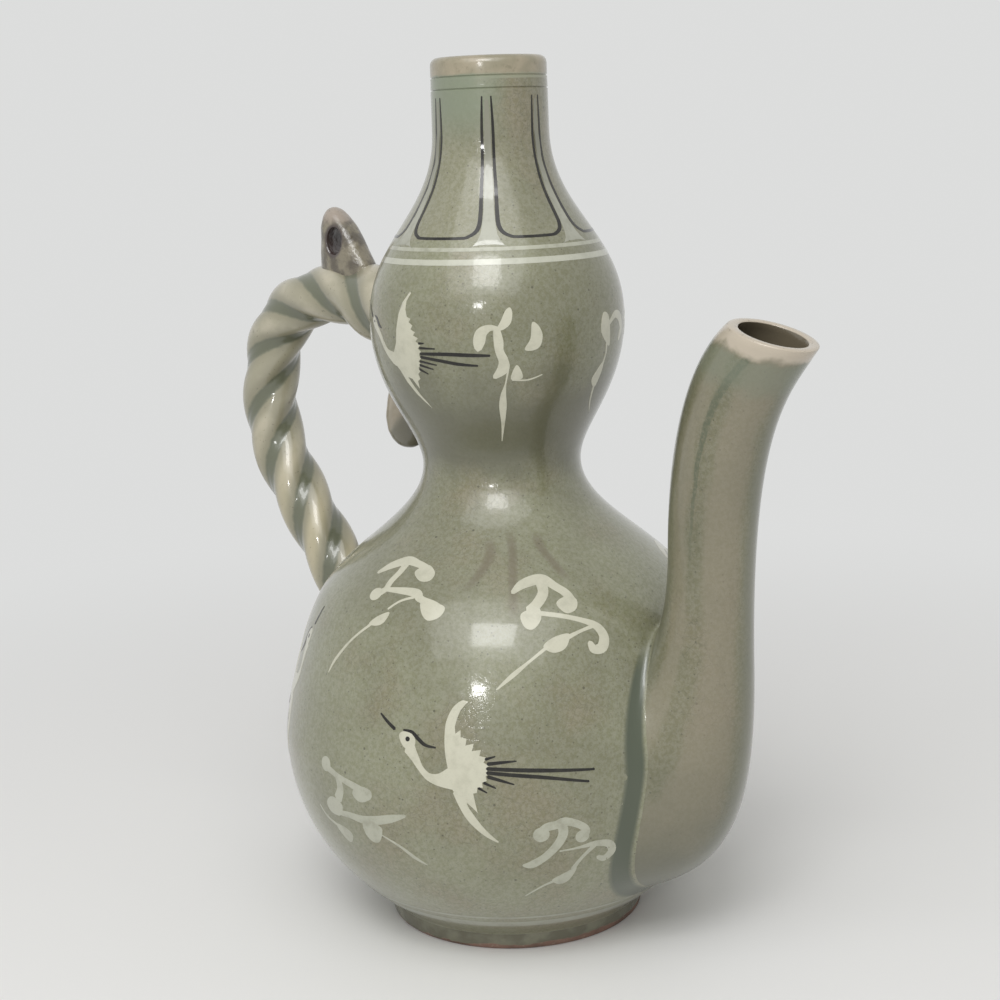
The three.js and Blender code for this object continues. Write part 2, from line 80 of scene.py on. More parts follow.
# Studio
# A pale floor and a pale surround. A wide soft lamp with a brighter pane in it hangs over the right
# front, and a small bright lamp gives the glaze its sharp highlights.
pale = (0.72, 0.725, 0.72)
surround_glow = (1, 0.99, 0.97)
surround_strength = 0.42
floor_colour = (0.84, 0.84, 0.83)
wide_lamp_place = (0.49, -0.93, 1.45)
bright_pane_place = (0.556, -0.97, 1.27)
small_lamp_place = (0.74, -1.7, 0.69)
lamp_aim_height = 0.13
floor_half = 3
floor_roughness = 0.6
floor_fade_start = 0.14
floor_fade_end = 0.6


class Recipe:
    """The nodes of a material or of the surround, each kind with a short name."""

    def __init__(self, tree):
        self.tree = tree

    def node(self, kind, settings=None, **inputs):
        """One node, its inputs filled from values or from the outputs of other nodes."""
        made = self.tree.nodes.new("ShaderNode" + kind)
        for key, value in (settings or {}).items():
            setattr(made, key, value)
        for key, value in inputs.items():
            put = made.inputs[int(key[1:]) if key[1:].isdigit() else key]
            if isinstance(value, bpy.types.NodeSocket):
                self.tree.links.new(value, put)
            elif put.type == "RGBA":
                put.default_value = (*value, 1)
            else:
                put.default_value = value
        return made

    def maths(self, operation, *values):
        inputs = {f"i{slot}": value for slot, value in enumerate(values)}
        return self.node("Math", {"operation": operation}, **inputs).outputs[0]

    def product(self, one, other):
        return self.maths("MULTIPLY", one, other)

    def ramp(self, value, low, high, start=0.0, end=1.0):
        """Maps a value from low..high to start..end and holds it outside."""
        return self.node(
            "MapRange", {"interpolation_type": "SMOOTHSTEP"}, i0=value, i1=low, i2=high, i3=start, i4=end
        ).outputs[0]

    def seen_ray(self):
        """1 for the rays that look at the background, 0 for the rays that carry light."""
        path = self.node("LightPath").outputs
        mirrored = self.maths("MAXIMUM", path["Is Glossy Ray"], path["Is Transmission Ray"])
        return self.maths("MAXIMUM", path["Is Camera Ray"], mirrored)

    def mixed_output(self, output, share, under, over):
        """Sends a mix of two shaders to the named output node."""
        made = self.node("MixShader", Fac=share, i1=under.outputs[0], i2=over.outputs[0])
        self.tree.links.new(made.outputs[0], self.tree.nodes[output].inputs["Surface"])


surround = bpy.data.worlds.new("pale surround")
surround.use_nodes = True
surround_recipe = Recipe(surround.node_tree)
surround_seen = surround.node_tree.nodes["Background"]
surround_seen.inputs["Color"].default_value = (*pale, 1)
surround_seen.inputs["Strength"].default_value = 1
surround_light = surround_recipe.node("Background", Color=surround_glow, Strength=surround_strength)
surround_recipe.mixed_output("World Output", surround_recipe.seen_ray(), surround_light, surround_seen)
scene.world = surround


def hang_lamp(name, place, size, power):
    """A rectangular lamp that faces the middle of the ewer."""
    lamp_data = bpy.data.lights.new(name, "AREA")
    lamp_data.shape = "RECTANGLE"
    lamp_data.size, lamp_data.size_y = size
    lamp_data.energy = power
    lamp = bpy.data.objects.new(name, lamp_data)
    lamp.location = place
    facing = Vector((axis_x, 0, lamp_aim_height)) - Vector(place)
    lamp.rotation_mode = "QUATERNION"
    lamp.rotation_quaternion = facing.to_track_quat("-Z", "Y")
    bpy.context.collection.objects.link(lamp)


hang_lamp("wide lamp", wide_lamp_place, (2.0, 1.5), 14)
hang_lamp("bright pane", bright_pane_place, (0.6, 0.65), 7.2)
hang_lamp("small lamp", small_lamp_place, (0.24, 0.12), 2.8)

floor_data = bpy.data.meshes.new("floor")
floor_corners = [(x * floor_half, y * floor_half, 0) for x, y in ((-1, -1), (1, -1), (1, 1), (-1, 1))]
floor_data.from_pydata(floor_corners, [], [(0, 1, 2, 3)])
floor = bpy.data.objects.new("floor", floor_data)
bpy.context.collection.objects.link(floor)
floor_paint = bpy.data.materials.new("pale floor")
floor_paint.use_nodes = True
floor_recipe = Recipe(floor_paint.node_tree)
floor_shader = floor_paint.node_tree.nodes["Principled BSDF"]
floor_shader.inputs["Base Color"].default_value = (*floor_colour, 1)
floor_shader.inputs["Roughness"].default_value = floor_roughness
floor_where = floor_recipe.node("TexCoord").outputs["Object"]
floor_reach = floor_recipe.node("VectorMath", {"operation": "LENGTH"}, i0=floor_where).outputs["Value"]
floor_fade = floor_recipe.ramp(floor_reach, floor_fade_start, floor_fade_end)
floor_recipe.mixed_output(
    "Material Output", floor_recipe.product(floor_fade, floor_recipe.seen_ray()),
    floor_shader, floor_recipe.node("Emission", Color=pale),
)
floor_data.materials.append(floor_paint)


# Foot ring
# A low ring of clay turned on the underside. Its sole is wiped bare, because it stands on the kiln
# shelf, and fires to a red brown. The glaze on its outer face stops in a tilted, uneven line.
foot_radius = 42.0
foot_top_radius = 43.1
foot_height = 5.6
foot_width = 6.0
foot_round = 0.9
round_steps = 5
round_pull = 0.55
weld_gap = 1e-7
coat_weight = 0.85
clay_dark = (0.125, 0.078, 0.057)
clay_red = (0.215, 0.13, 0.098)
grit_pale = (0.3, 0.25, 0.2)
worn_glaze_dark = (0.135, 0.13, 0.092)
worn_glaze_pale = (0.2, 0.195, 0.142)
glaze_line_tilt = (0.019, 0.016, -1.0)


def rounded_outline(corners):
    """A closed outline from (radius, height, round) corners in millimetres."""
    outline = []
    for i, (radius, height, size) in enumerate(corners):
        if not size:
            outline.append((radius, height))
            continue
        corner = Vector((radius, height))
        start, end = [
            corner + (Vector(other[:2]) - corner).normalized() * size
            for other in (corners[i - 1], corners[(i + 1) % len(corners)])
        ]
        pulls = (start.lerp(corner, round_pull), end.lerp(corner, round_pull))
        outline += [tuple(p) for p in geometry.interpolate_bezier(start, *pulls, end, round_steps)]
    return outline


def plain_object(name, made):
    """Turns a bmesh into an object of the scene."""
    made_data = bpy.data.meshes.new(name)
    made.to_mesh(made_data)
    made.free()
    plain = bpy.data.objects.new(name, made_data)
    bpy.context.collection.objects.link(plain)
    return plain


def set_in_scene(name, made, sharp_degrees=42):
    """Turns a finished bmesh into a smooth piece of the ewer."""
    bmesh.ops.remove_doubles(made, verts=made.verts, dist=weld_gap)
    bmesh.ops.recalc_face_normals(made, faces=made.faces)
    piece = plain_object(name, made)
    piece.data.shade_smooth()
    piece.data.set_sharp_from_angle(angle=math.radians(sharp_degrees))
    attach(piece, "root")
    return piece


def turned_clay(name, outline, turns=180):
    """A closed body turned about the ewer's axis from a closed outline of (radius, height)."""
    made = bmesh.new()
    rows = []
    for turn in range(turns):
        angle = 2 * math.pi * turn / turns
        across, along = math.cos(angle) * mm, math.sin(angle) * mm
        rows.append([made.verts.new((axis_x + r * across, r * along, z * mm)) for r, z in outline])
    for row, after in zip(rows, rows[1:] + rows[:1]):
        for i in range(len(outline)):
            j = (i + 1) % len(outline)
            if outline[i][0] or outline[j][0]:
                made.faces.new((row[i], after[i], after[j], row[j]))
    return set_in_scene(name, made)


class Glaze(Recipe):
    """A fired surface. Its colour is laid in coats, over its place on the ewer in millimetres."""

    def __init__(self, name, colour):
        self.paint = bpy.data.materials.new(name)
        self.paint.use_nodes = True
        super().__init__(self.paint.node_tree)
        self.shader = self.tree.nodes["Principled BSDF"]
        self.colour = colour
        self.crackle = None
        where = self.node("TexCoord").outputs["Object"]
        self.place = self.vector("SCALE", where, i3=1 / mm)
        self.height = self.node("SeparateXYZ", Vector=self.place).outputs["Z"]

    def vector(self, operation, *values, **inputs):
        inputs.update({f"i{slot}": value for slot, value in enumerate(values)})
        return self.node("VectorMath", {"operation": operation}, **inputs).outputs[0]

    def towards(self, direction, start=(0, 0, 0)):
        """How far the place lies along a direction from a start."""
        off = self.vector("SUBTRACT", self.place, start)
        return self.node("VectorMath", {"operation": "DOT_PRODUCT"}, i0=off, i1=direction).outputs["Value"]

    def mark(self, name):
        """A value that the mesh carries on its points."""
        return self.node("Attribute", {"attribute_name": name}).outputs["Fac"]

    def cloudy(self, size, detail=3.0, rough=0.55, place=None):
        """Noise whose patches are about a size in millimetres across."""
        place = place or self.place
        return self.node(
            "TexNoise", Vector=place, Scale=1 / size, Detail=detail, Roughness=rough
        ).outputs["Fac"]

    def swayed(self, value, swing, *noise):
        """A value that cloudy noise raises by up to a swing, so that what follows it is uneven."""
        return self.maths("MULTIPLY_ADD", self.cloudy(*noise), swing, value)

    def coat(self, colour, share, how="MIX"):
        """Lays a colour over the others, by a share from 0 to 1."""
        settings = {"data_type": "RGBA", "blend_type": how}
        self.colour = self.node("Mix", settings, i0=share, i6=self.colour, i7=colour).outputs[2]

    def patches(self, colour, low, high, most, *noise, how="MIX"):
        """Lays a colour where cloudy noise rises from low to high, up to the most that it covers."""
        self.coat(colour, self.ramp(self.cloudy(*noise), low, high, 0, most), how)

    def bump(self, height, strength, deep):
        """Lets a pattern stand proud of the surface by a depth in millimetres."""
        made = self.node("Bump", Strength=strength, Distance=deep * mm, Height=height)
        for name in ("Normal", "Coat Normal"):
            self.tree.links.new(made.outputs["Normal"], self.shader.inputs[name])

    def gloss(self, soft, clear):
        """A soft sheen, a clear coat over it, and slight dents."""
        self.shader.inputs["Roughness"].default_value = soft
        self.shader.inputs["Coat Weight"].default_value = coat_weight
        self.shader.inputs["Coat Roughness"].default_value = clear
        dents = self.cloudy(6, 2)
        if self.crackle:
            dents = self.maths("MULTIPLY_ADD", self.crackle, -0.5, dents)
        self.bump(dents, 0.35, 0.07)

    def dry(self):
        """The finished material, without a gloss."""
        self.tree.links.new(self.colour, self.shader.inputs["Base Color"])
        return self.paint

    def fired(self, soft=0.34, clear=0.07):
        """The finished material, with the gloss of a fired glaze."""
        self.gloss(soft, clear)
        return self.dry()


def bare_clay():
    """Gritty red-brown clay, under a worn glaze that ends in a tilted line."""
    foot_glaze = Glaze("foot clay under dark glaze", clay_dark)
    foot_glaze.patches(clay_red, 0.4, 0.62, 1, 14)
    foot_glaze.patches(grit_pale, 0.58, 0.7, 0.5, 0.8, 2)
    clay = foot_glaze.colour
    foot_glaze.colour = worn_glaze_dark
    foot_glaze.patches(worn_glaze_pale, 0.4, 0.62, 1, 9)
    bare = foot_glaze.ramp(foot_glaze.swayed(foot_glaze.towards(glaze_line_tilt), 3.0, 6), -0.35, 0.1)
    foot_glaze.coat(clay, bare)
    rough = foot_glaze.ramp(bare, 0, 1, 0.22, 0.85)
    foot_glaze.tree.links.new(rough, foot_glaze.shader.inputs["Roughness"])
    foot_glaze.bump(foot_glaze.cloudy(0.8, 2), 0.4, 0.2)
    return foot_glaze.dry()


def finish(piece, paint, node=None):
    """Gives a piece its finish, and hides the part of the fixed model that it stands for."""
    piece.data.materials.append(paint)
    if node:
        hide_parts(node)


foot_corners = [
    (foot_radius - foot_width, 0, foot_round),
    (foot_radius, 0, foot_round),
    (foot_top_radius, foot_height, 0),
    (foot_top_radius - foot_width, foot_height, 0),
]
foot = turned_clay("foot_ring_bare", rounded_outline(foot_corners))
finish(foot, bare_clay(), "foot_ring")


# Lower bulb
# The large thrown bulb that holds the liquid. Its wall swells from the foot to the belly and closes
# over the shoulder to the waist, under a glossy grey-green glaze with a fine crackle.
wall = 4.4
floor_top = 11.8
foot_edge = (foot_top_radius, foot_height)
belly = (74.9, 64.5)
shoulder = (61.4, 110.3)
waist = (25.7, 152.0)
wall_step = 1.4
body_colours = ((0.2, 0.2, 0.134), (0.262, 0.266, 0.185), (0.24, 0.216, 0.144))
mottle_grey = (0.33, 0.33, 0.25)
grain_dark = (0.1, 0.1, 0.062)
crackle_stain = (0.085, 0.085, 0.05)
iron_dark = (0.05, 0.045, 0.025)
# Darker green round the waist and under the upper swell: glaze pooled there, together with painted shade
# for the shade under the swell.
waist_pool_and_shade = (0.112, 0.112, 0.07)
# Each size of iron speck: how close they lie, how few are made, the largest and how dark they are.
iron_specks = ((0.27, 0.6, 0.11, 0.7), (0.7, 0.55, 0.22, 0.55))


def clay_line(start, start_pull, end_pull, end):
    """Points along a smooth outline, about one wall step apart."""
    steps = round((Vector(end) - Vector(start)).length / wall_step)
    bent = geometry.interpolate_bezier(
        Vector(start), Vector(start_pull), Vector(end_pull), Vector(end), max(4, steps)
    )
    return [tuple(p)[:2] for p in bent]


def joined(*lines):
    """One line from several that follow on from each other."""
    whole = list(lines[0])
    for line in lines[1:]:
        whole += line[1:]
    return whole


def inside_of(line):
    """The hidden face of a wall, one wall's thickness in from its outer line."""
    inner = []
    for i, (radius, height) in enumerate(line):
        before, after = line[max(0, i - 1)], line[min(len(line) - 1, i + 1)]
        along = (Vector(after) - Vector(before)).normalized()
        inner.append((radius - wall * along.y, height + wall * along.x))
    return inner


lower_line = joined(
    clay_line(foot_edge, (foot_top_radius + 3, foot_height + 4.4), (belly[0], 25.7), belly),
    clay_line(belly, (belly[0], 70.5), (68.5, 98.9), shoulder),
    clay_line(shoulder, (51.815, 125.69), (waist[0], 135.8), waist),
)
lower_inside = [p for p in inside_of(lower_line) if p[1] > floor_top]
lower_inside = lower_inside[:-1] + [(waist[0] - wall, waist[1])]


def celadon(name, deep, pale_green, warm, age=1.0):
    """Cloudy greens, a warm tinge where the glaze is thin, stained crackle, and iron specks."""
    glaze = Glaze(name, deep)
    glaze.patches(pale_green, 0.36, 0.64, 1, 46, 4)
    glaze.patches(warm, 0.46, 0.72, 0.8, 30, 5, 0.62)
    glaze.patches(mottle_grey, 0.36, 0.66, 0.85, 1.3, 3, 0.72, how="SOFT_LIGHT")
    glaze.patches(grain_dark, 0.55, 0.72, 0.45, 0.55, 2, 0.7)
    shake = glaze.node("TexNoise", Vector=glaze.place, Scale=0.5, Detail=2.0).outputs["Color"]
    shaken = glaze.vector("MULTIPLY_ADD", shake, (1.6, 1.6, 1.6), glaze.place)

    def cracks(close, width, dark):
        net = glaze.node("TexVoronoi", {"feature": "DISTANCE_TO_EDGE"}, Vector=shaken, Scale=close)
        return glaze.ramp(net.outputs["Distance"], 0.0, width, dark, 0)

    lines = glaze.maths("MAXIMUM", cracks(0.26, 0.04, 1), cracks(0.6, 0.05, 0.6))
    glaze.crackle = glaze.product(lines, glaze.ramp(glaze.cloudy(30, 3), 0.4, 0.62, 0.25, 1))
    glaze.coat(crackle_stain, glaze.product(glaze.crackle, 0.36 * age))
    for close, few, largest, dark in iron_specks:
        iron = glaze.node("TexVoronoi", {"feature": "F1"}, Vector=glaze.place, Scale=close).outputs
        size = glaze.node("SeparateColor", Color=iron["Color"]).outputs[0]
        speck = glaze.maths("LESS_THAN", iron["Distance"], glaze.ramp(size, few, 1.0, 0.0, largest))
        glaze.coat(iron_dark, glaze.product(speck, dark))
    return glaze


def body_celadon(name, pool=None):
    """The body's glaze, darker and greener round the waist and under the upper swell (pooled glaze with
    painted shade), and with any pooled colour.
    """
    glaze = celadon(name, *body_colours)
    height = glaze.swayed(glaze.height, 30.0, 18, 4)
    # Painted shade together with pooled glaze: darker and greener from the waist up under the upper bulb's
    # swell.
    waist_pool_and_shade_share = glaze.product(glaze.ramp(height, 158, 174), glaze.ramp(height, 188, 206, 0.85, 0))
    glaze.coat(waist_pool_and_shade, waist_pool_and_shade_share)
    if pool:
        glaze.coat(pool, glaze.mark("pool"))
    return glaze.fired()


body_glaze = body_celadon("body celadon")
lower_bulb = turned_clay(
    "lower_bulb_glazed", lower_line + lower_inside[::-1] + [(0, floor_top), (0, foot_height)]
)
finish(lower_bulb, body_glaze, "lower_bulb")


# Upper bulb
# The smaller bulb is thrown apart and joined to the waist with slip while both are leather hard.
# The glaze runs over the joint, so none of it shows outside.
upper_belly = (40.9, 198.5)
neck_waist = (18.5, 257.5)
shoulder_break = 224.8

upper_swell = clay_line(waist, (waist[0], 163.3), (upper_belly[0], 174.9), upper_belly)
neck_line = clay_line(upper_belly, (upper_belly[0], 224.9), (neck_waist[0], 231.7), neck_waist)
joint_row = min(range(len(neck_line)), key=lambda i: abs(neck_line[i][1] - shoulder_break))
upper_line = joined(upper_swell, neck_line[:joint_row + 1])
upper_whole = joined(lower_line[-3:], upper_line, neck_line[joint_row:joint_row + 3])
upper_inside = inside_of(upper_whole)[2:-2]
upper_bulb = turned_clay("upper_bulb_glazed", upper_line + upper_inside[::-1])
finish(upper_bulb, body_glaze, "upper_bulb")


# Neck
# The neck is a third thrown piece. A faint line is cut round it under the lip, and the glaze is
# greener on one side up there because it lies thicker.
lip_foot = (18.3, 272.8)
collar_low = (18.4, 268.9)
collar_pull = (18.45, 261.5)
cut_depth = 0.32
cut_half = 0.35
cut_height = 270.0
collar_line = clay_line(neck_waist, collar_pull, (18.41, 265), collar_low)
collar_line += [
    (collar_low[0], cut_height - cut_half), (collar_low[0] - cut_depth, cut_height),
    (collar_low[0], cut_height + cut_half), lip_foot,
]
upper_neck = joined(neck_line[joint_row:], collar_line)
neck_smooth = joined(
    upper_line[-3:], neck_line[joint_row:], clay_line(neck_waist, collar_pull, (18.4, 267), lip_foot)
)
neck_inside = inside_of(neck_smooth)[2:]
neck_colours = ((0.205, 0.204, 0.139), (0.264, 0.26, 0.184), (0.25, 0.222, 0.155))
collar_green = (0.2, 0.232, 0.162)
thick_side = (-0.17, -0.98, 0.0)


def thicken_at_top(glaze):
    """Turns a glaze greener near the top of the neck, on the side where it lies thick."""
    side = glaze.ramp(glaze.swayed(glaze.towards(thick_side), 10.0, 7, 4), 10, 21)
    glaze.coat(collar_green, glaze.product(glaze.ramp(glaze.height, 250, 266, 0, 0.85), side))


def neck_celadon():
    glaze = celadon("neck celadon", *neck_colours)
    thicken_at_top(glaze)
    return glaze.fired()


neck = turned_clay("neck_glazed", upper_neck + neck_inside[::-1])
finish(neck, neck_celadon(), "neck")


# Mouth rim
# A coil of clay makes the lip, above a second cut line. Its glaze is thin and fires to a pale beige,
# and it is rounded over by the potter's wet finger.
mouth_height = 280.0
lip_radius = 18.3
groove_height = 273.8
lip_outline = rounded_outline([
    (lip_radius - wall, lip_foot[1], 0),
    (lip_radius, lip_foot[1], 0),
    (lip_radius, groove_height - cut_half, 0),
    (lip_radius - cut_depth, groove_height, 0),
    (lip_radius, groove_height + cut_half, 0),
    (lip_radius, mouth_height, 2.4),
    (lip_radius - wall, mouth_height, 1.6),
])
lip_tan = (0.25, 0.225, 0.15)
lip_beige = (0.33, 0.285, 0.2)
lip_blotch = (0.17, 0.15, 0.09)


def lip_glaze():
    """Thin beige glaze with brown blotches, that ends on the neck's green in an uneven line."""
    glaze = Glaze("thin lip glaze", lip_tan)
    glaze.patches(lip_beige, 0.38, 0.64, 1, 9, 4)
    glaze.patches(lip_blotch, 0.52, 0.7, 0.6, 2.2, 4, 0.7)
    beige = glaze.colour
    glaze.colour = body_colours[1]
    thicken_at_top(glaze)
    glaze.coat(beige, glaze.ramp(glaze.swayed(glaze.height, 1.6, 3, 3), 274.6, 275.6))
    return glaze.fired(0.4, 0.16)


lip = turned_clay("mouth_rim_coil", lip_outline, turns=120)
finish(lip, lip_glaze(), "mouth_rim")


# Spout
# A long tapered tube, wide where it swells out of the bulb and bent outward at the mouth. It is
# thrown or rolled apart, cut to fit the bulb and set on with slip over one round hole.
spout_wall = 3.2
spout_far = [
    [(44.0, 14.4), (72.3, 23.2), (93.5, 29.6), (93.5, 97.5)],
    [(93.5, 97.5), (93.5, 172.3), (106.9, 179.4), (116.3, 193.5)],
]
spout_near = [
    [(54.5, 97.2), (59.1, 101.5), (67.7, 96.7), (67.7, 132.5)],
    [(67.7, 132.5), (67.7, 156.2), (72.8, 189.1), (90.3, 201.7)],
]
spout_root_half = 47.0
spout_swell_half = 19.2
spout_knee_half = 12.7
spout_mouth_half = 13.2
spout_rows = 44
spout_sides = 72
spout_sink = 1.2
search_steps = 60
search_halvings = 24
lip_run = 0.012
lip_steps = 8
body_line = joined(lower_line, upper_line, upper_neck)
body_radii = [p[0] for p in body_line]
body_heights = [p[1] for p in body_line]
spout_colours = ((0.16, 0.157, 0.1), (0.212, 0.202, 0.135), (0.218, 0.19, 0.128))
streak_green = (0.088, 0.1, 0.056)
# Painted shade, darkening the spout toward its foot.
spout_foot_shade = (0.094, 0.1, 0.068)
under_rim_green = (0.16, 0.185, 0.13)
rim_pale = (0.5, 0.435, 0.345)
rim_spot = (0.13, 0.105, 0.07)
# Painted shade in the bore, over a browner glaze.
bore_brown_shade = (0.14, 0.118, 0.08)
# Each band down the spout: its colour, the turns where it starts, is full, fades and ends, its strength.
spout_bands = (
    ((0.228, 0.198, 0.138), -64, -50, -20, 4, 0.55),
    ((0.14, 0.145, 0.098), -10, 12, 30, 60, 0.7),
    ((0.235, 0.21, 0.145), -112, -98, -86, -76, 0.5),
    ((0.13, 0.135, 0.088), -150, -136, -124, -108, 0.6),
    ((0.225, 0.195, 0.137), 70, 90, 110, 130, 0.4),
)


def between(keys, values, key):
    """The value at a key, on a straight line between the two nearest of some rising keys."""
    row = min(max(bisect_right(keys, key), 1), len(keys) - 1)
    share = (key - keys[row - 1]) / (keys[row] - keys[row - 1])
    return values[row - 1] + (values[row] - values[row - 1]) * share


def wall_radius(height):
    """The radius of the body's outer face at a height."""
    return between(body_heights, body_radii, height)


def eased(share):
    share = min(max(share, 0), 1)
    return share * share * (3 - 2 * share)


def rail(bends, share):
    """A point on a line of two bends, with share running from 0 to 2."""
    p0, p1, p2, p3 = [Vector(p) for p in bends[0 if share < 1 else 1]]
    t = share if share < 1 else share - 1
    u = 1 - t
    return p0 * u ** 3 + p1 * 3 * u * u * t + p2 * 3 * u * t * t + p3 * t ** 3


def spout_point(share, turn, depth=0.0):
    """A point of the spout's surface in millimetres from the ewer's axis, a depth in from outside."""
    near, far = rail(spout_near, share), rail(spout_far, share)
    centre, half = (near + far) / 2, (far - near) / 2
    if share < 1:
        u = 1 - share
        across = (
            spout_root_half * u * u + spout_swell_half * 2 * u * share
            + spout_knee_half * share * share
        )
    else:
        across = spout_knee_half + (spout_mouth_half - spout_knee_half) * eased(share - 1)
    plane = centre + half.normalized() * (half.length - depth) * math.cos(turn)
    return Vector((plane.x, (across - depth) * math.sin(turn), plane.y))


def in_wall(point, sink):
    return math.hypot(point.x, point.y) < wall_radius(point.z) - sink


def spout_start(turn, depth, sink):
    """The share at which a line along the spout leaves the wall of the bulb."""
    low, high = 0.0, 1.0
    for step in range(search_steps):
        if in_wall(spout_point(1 - step / search_steps, turn, depth), sink):
            low = 1 - step / search_steps
            high = low + 1 / search_steps
            break
    for _ in range(search_halvings):
        middle = (low + high) / 2
        if in_wall(spout_point(middle, turn, depth), sink):
            low = middle
        else:
            high = middle
    return high


def ring_skin(made, rings, closed_ends=True):
    """Joins rings of points into a tube, and closes each end with a fan."""
    rows = [[made.verts.new(p) for p in ring] for ring in rings]
    sides = len(rows[0])
    for low, high in zip(rows, rows[1:]):
        for i in range(sides):
            j = (i + 1) % sides
            made.faces.new((low[i], low[j], high[j], high[i]))
    if closed_ends:
        for row in (rows[0], rows[-1]):
            hub = made.verts.new(sum((v.co for v in row), Vector()) / sides)
            for i in range(sides):
                made.faces.new((row[i], row[(i + 1) % sides], hub))
    return rows


def in_metres(point):
    return Vector((axis_x + point.x * mm, point.y * mm, point.z * mm))


def circle(steps):
    return [2 * math.pi * step / steps for step in range(steps)]


turns_round = circle(spout_sides)
spout_out = [spout_start(turn, 0, spout_sink) for turn in turns_round]
spout_in = [spout_start(turn, spout_wall, spout_sink) for turn in turns_round]


def spout_ring(starts, share, depth=0.0):
    """A ring round the spout, at a share of each line from its start up to the lip."""
    return [
        spout_point(start + (2 - lip_run - start) * share, turn, depth)
        for start, turn in zip(starts, turns_round)
    ]


def spout_body():
    """Rings up the outside, over the rounded lip, and down the bore."""
    rows = range(spout_rows + 1)
    rings = [spout_ring(spout_out, row / spout_rows) for row in rows]
    for step in range(1, lip_steps):
        a = math.pi * step / lip_steps
        depth = spout_wall / 2 * (1 - math.cos(a))
        rings.append([spout_point(2 - lip_run * (1 - math.sin(a)), turn, depth) for turn in turns_round])
    rings += [spout_ring(spout_in, 1 - row / spout_rows, spout_wall) for row in rows]
    return [[in_metres(p) for p in ring] for ring in rings]


spout_mesh = bmesh.new()
turned_mark = spout_mesh.verts.layers.float.new("turned")
along_mark = spout_mesh.verts.layers.float.new("along")
inside_mark = spout_mesh.verts.layers.float.new("inside")
spout_loops = ring_skin(spout_mesh, spout_body(), closed_ends=False)
first, last = spout_loops[0], spout_loops[-1]
for i in range(spout_sides):
    j = (i + 1) % spout_sides
    spout_mesh.faces.new((last[i], last[j], first[j], first[i]))
for ring, verts in enumerate(spout_loops):
    for vert, turn, start in zip(verts, turns_round, spout_out):
        vert[turned_mark] = math.degrees(turn if turn < math.pi else turn - 2 * math.pi)
        vert[along_mark] = start + (2 - lip_run - start) * min(ring / spout_rows, 1)
        vert[inside_mark] = 1 if ring >= spout_rows + lip_steps else 0
spout = set_in_scene("spout_tube", spout_mesh)


def streaked_celadon():
    """The spout's glaze ran down as it melted: beige bands, one green streak, and a bare pale lip, with
    painted shade low down and in the bore.
    """
    glaze = celadon("spout celadon", *spout_colours, age=1.5)
    turned = glaze.mark("turned")
    along = glaze.mark("along")
    stretched = glaze.vector("MULTIPLY", glaze.place, (1.0, 1.0, 0.22))
    wandering = glaze.swayed(turned, 26.0, 7, 4, 0.6, stretched)
    for colour, start, full_from, full_to, end, strength in spout_bands:
        rise = glaze.ramp(wandering, start, full_from)
        glaze.coat(colour, glaze.product(rise, glaze.ramp(wandering, full_to, end, strength, 0)))
    # Painted shade: the spout darkens toward its foot over the bulb.
    foot_shade_share = glaze.ramp(glaze.swayed(glaze.height, 24.0, 12, 4), 30, 84, 0.85, 0)
    glaze.coat(spout_foot_shade, foot_shade_share)
    lean = glaze.maths("ADD", turned, glaze.ramp(along, 1.55, 1.95, 84, 72))
    off_line = glaze.maths("ABSOLUTE", glaze.swayed(lean, 7.0, 9, 3))
    near_line = glaze.maths("DIVIDE", off_line, glaze.ramp(along, 1.1, 1.85, 2.2, 6.8))
    speckled = glaze.ramp(glaze.cloudy(0.9, 3, 0.7), 0.36, 0.6, 0.45, 0.95)
    streak = glaze.product(glaze.ramp(near_line, 0.55, 1.1, 1, 0), speckled)
    glaze.coat(streak_green, glaze.product(streak, glaze.ramp(along, 1.0, 1.35)))
    rim = glaze.swayed(along, 0.16, 8, 3)
    under_rim = glaze.product(glaze.ramp(rim, 1.72, 1.85), glaze.ramp(rim, 1.93, 1.99, 0.55, 0))
    glaze.coat(under_rim_green, under_rim)
    glaze.coat(rim_pale, glaze.ramp(rim, 1.96, 2.02, 0, 0.95))
    spots = glaze.ramp(glaze.cloudy(1.6, 4, 0.7), 0.56, 0.68, 0, 0.7)
    glaze.coat(rim_spot, glaze.product(spots, glaze.ramp(along, 1.965, 1.999)))
    # Painted shade: the whole bore is darkened, over a browner glaze.
    glaze.coat(bore_brown_shade, glaze.mark("inside"))
    return glaze.fired()


finish(spout, streaked_celadon(), "spout")


# Slip bead of the spout
# Soft slip is pressed into the corner between spout and bulb and smoothed with a finger. Glaze pools
# in the hollow, so it is darker and greener there than on either side.
bead_steps = 12
bead_inset = 0.8
bead_lift = 0.06
pool_edge = 0.12
slope_reach = 0.5
web_run = 0.002
web_on_bulb = (5.8, 4.0)
web_on_spout = (4.6, 3.7)
spout_pool_soft = 0.35
pool_free_top = 0.96
pool_free_fade = 0.3
pooled_green = (0.058, 0.072, 0.042)


def wall_normal(point):
    """Outward normal of the body at a point on its outer face."""
    slope = wall_radius(point.z + slope_reach) - wall_radius(point.z - slope_reach)
    flat = Vector((point.x, point.y, 0)).normalized()
    return (flat - Vector((0, 0, slope))).normalized()


def on_wall(point, lift):
    """The point of the body's outer face at the same height and bearing."""
    placed = Vector((point.x, point.y, 0)).normalized() * wall_radius(point.z)
    placed.z = point.z
    return placed + wall_normal(placed) * lift


def marked_skin(mark, rings, values, closed_ends=True):
    """A tube through rings of points that each carry a value, for a glaze to read."""
    made = bmesh.new()
    layer = made.verts.layers.float.new(mark)
    ring_skin(made, rings, closed_ends)
    for vert, value in zip(made.verts, values):
        vert[layer] = value
    return made


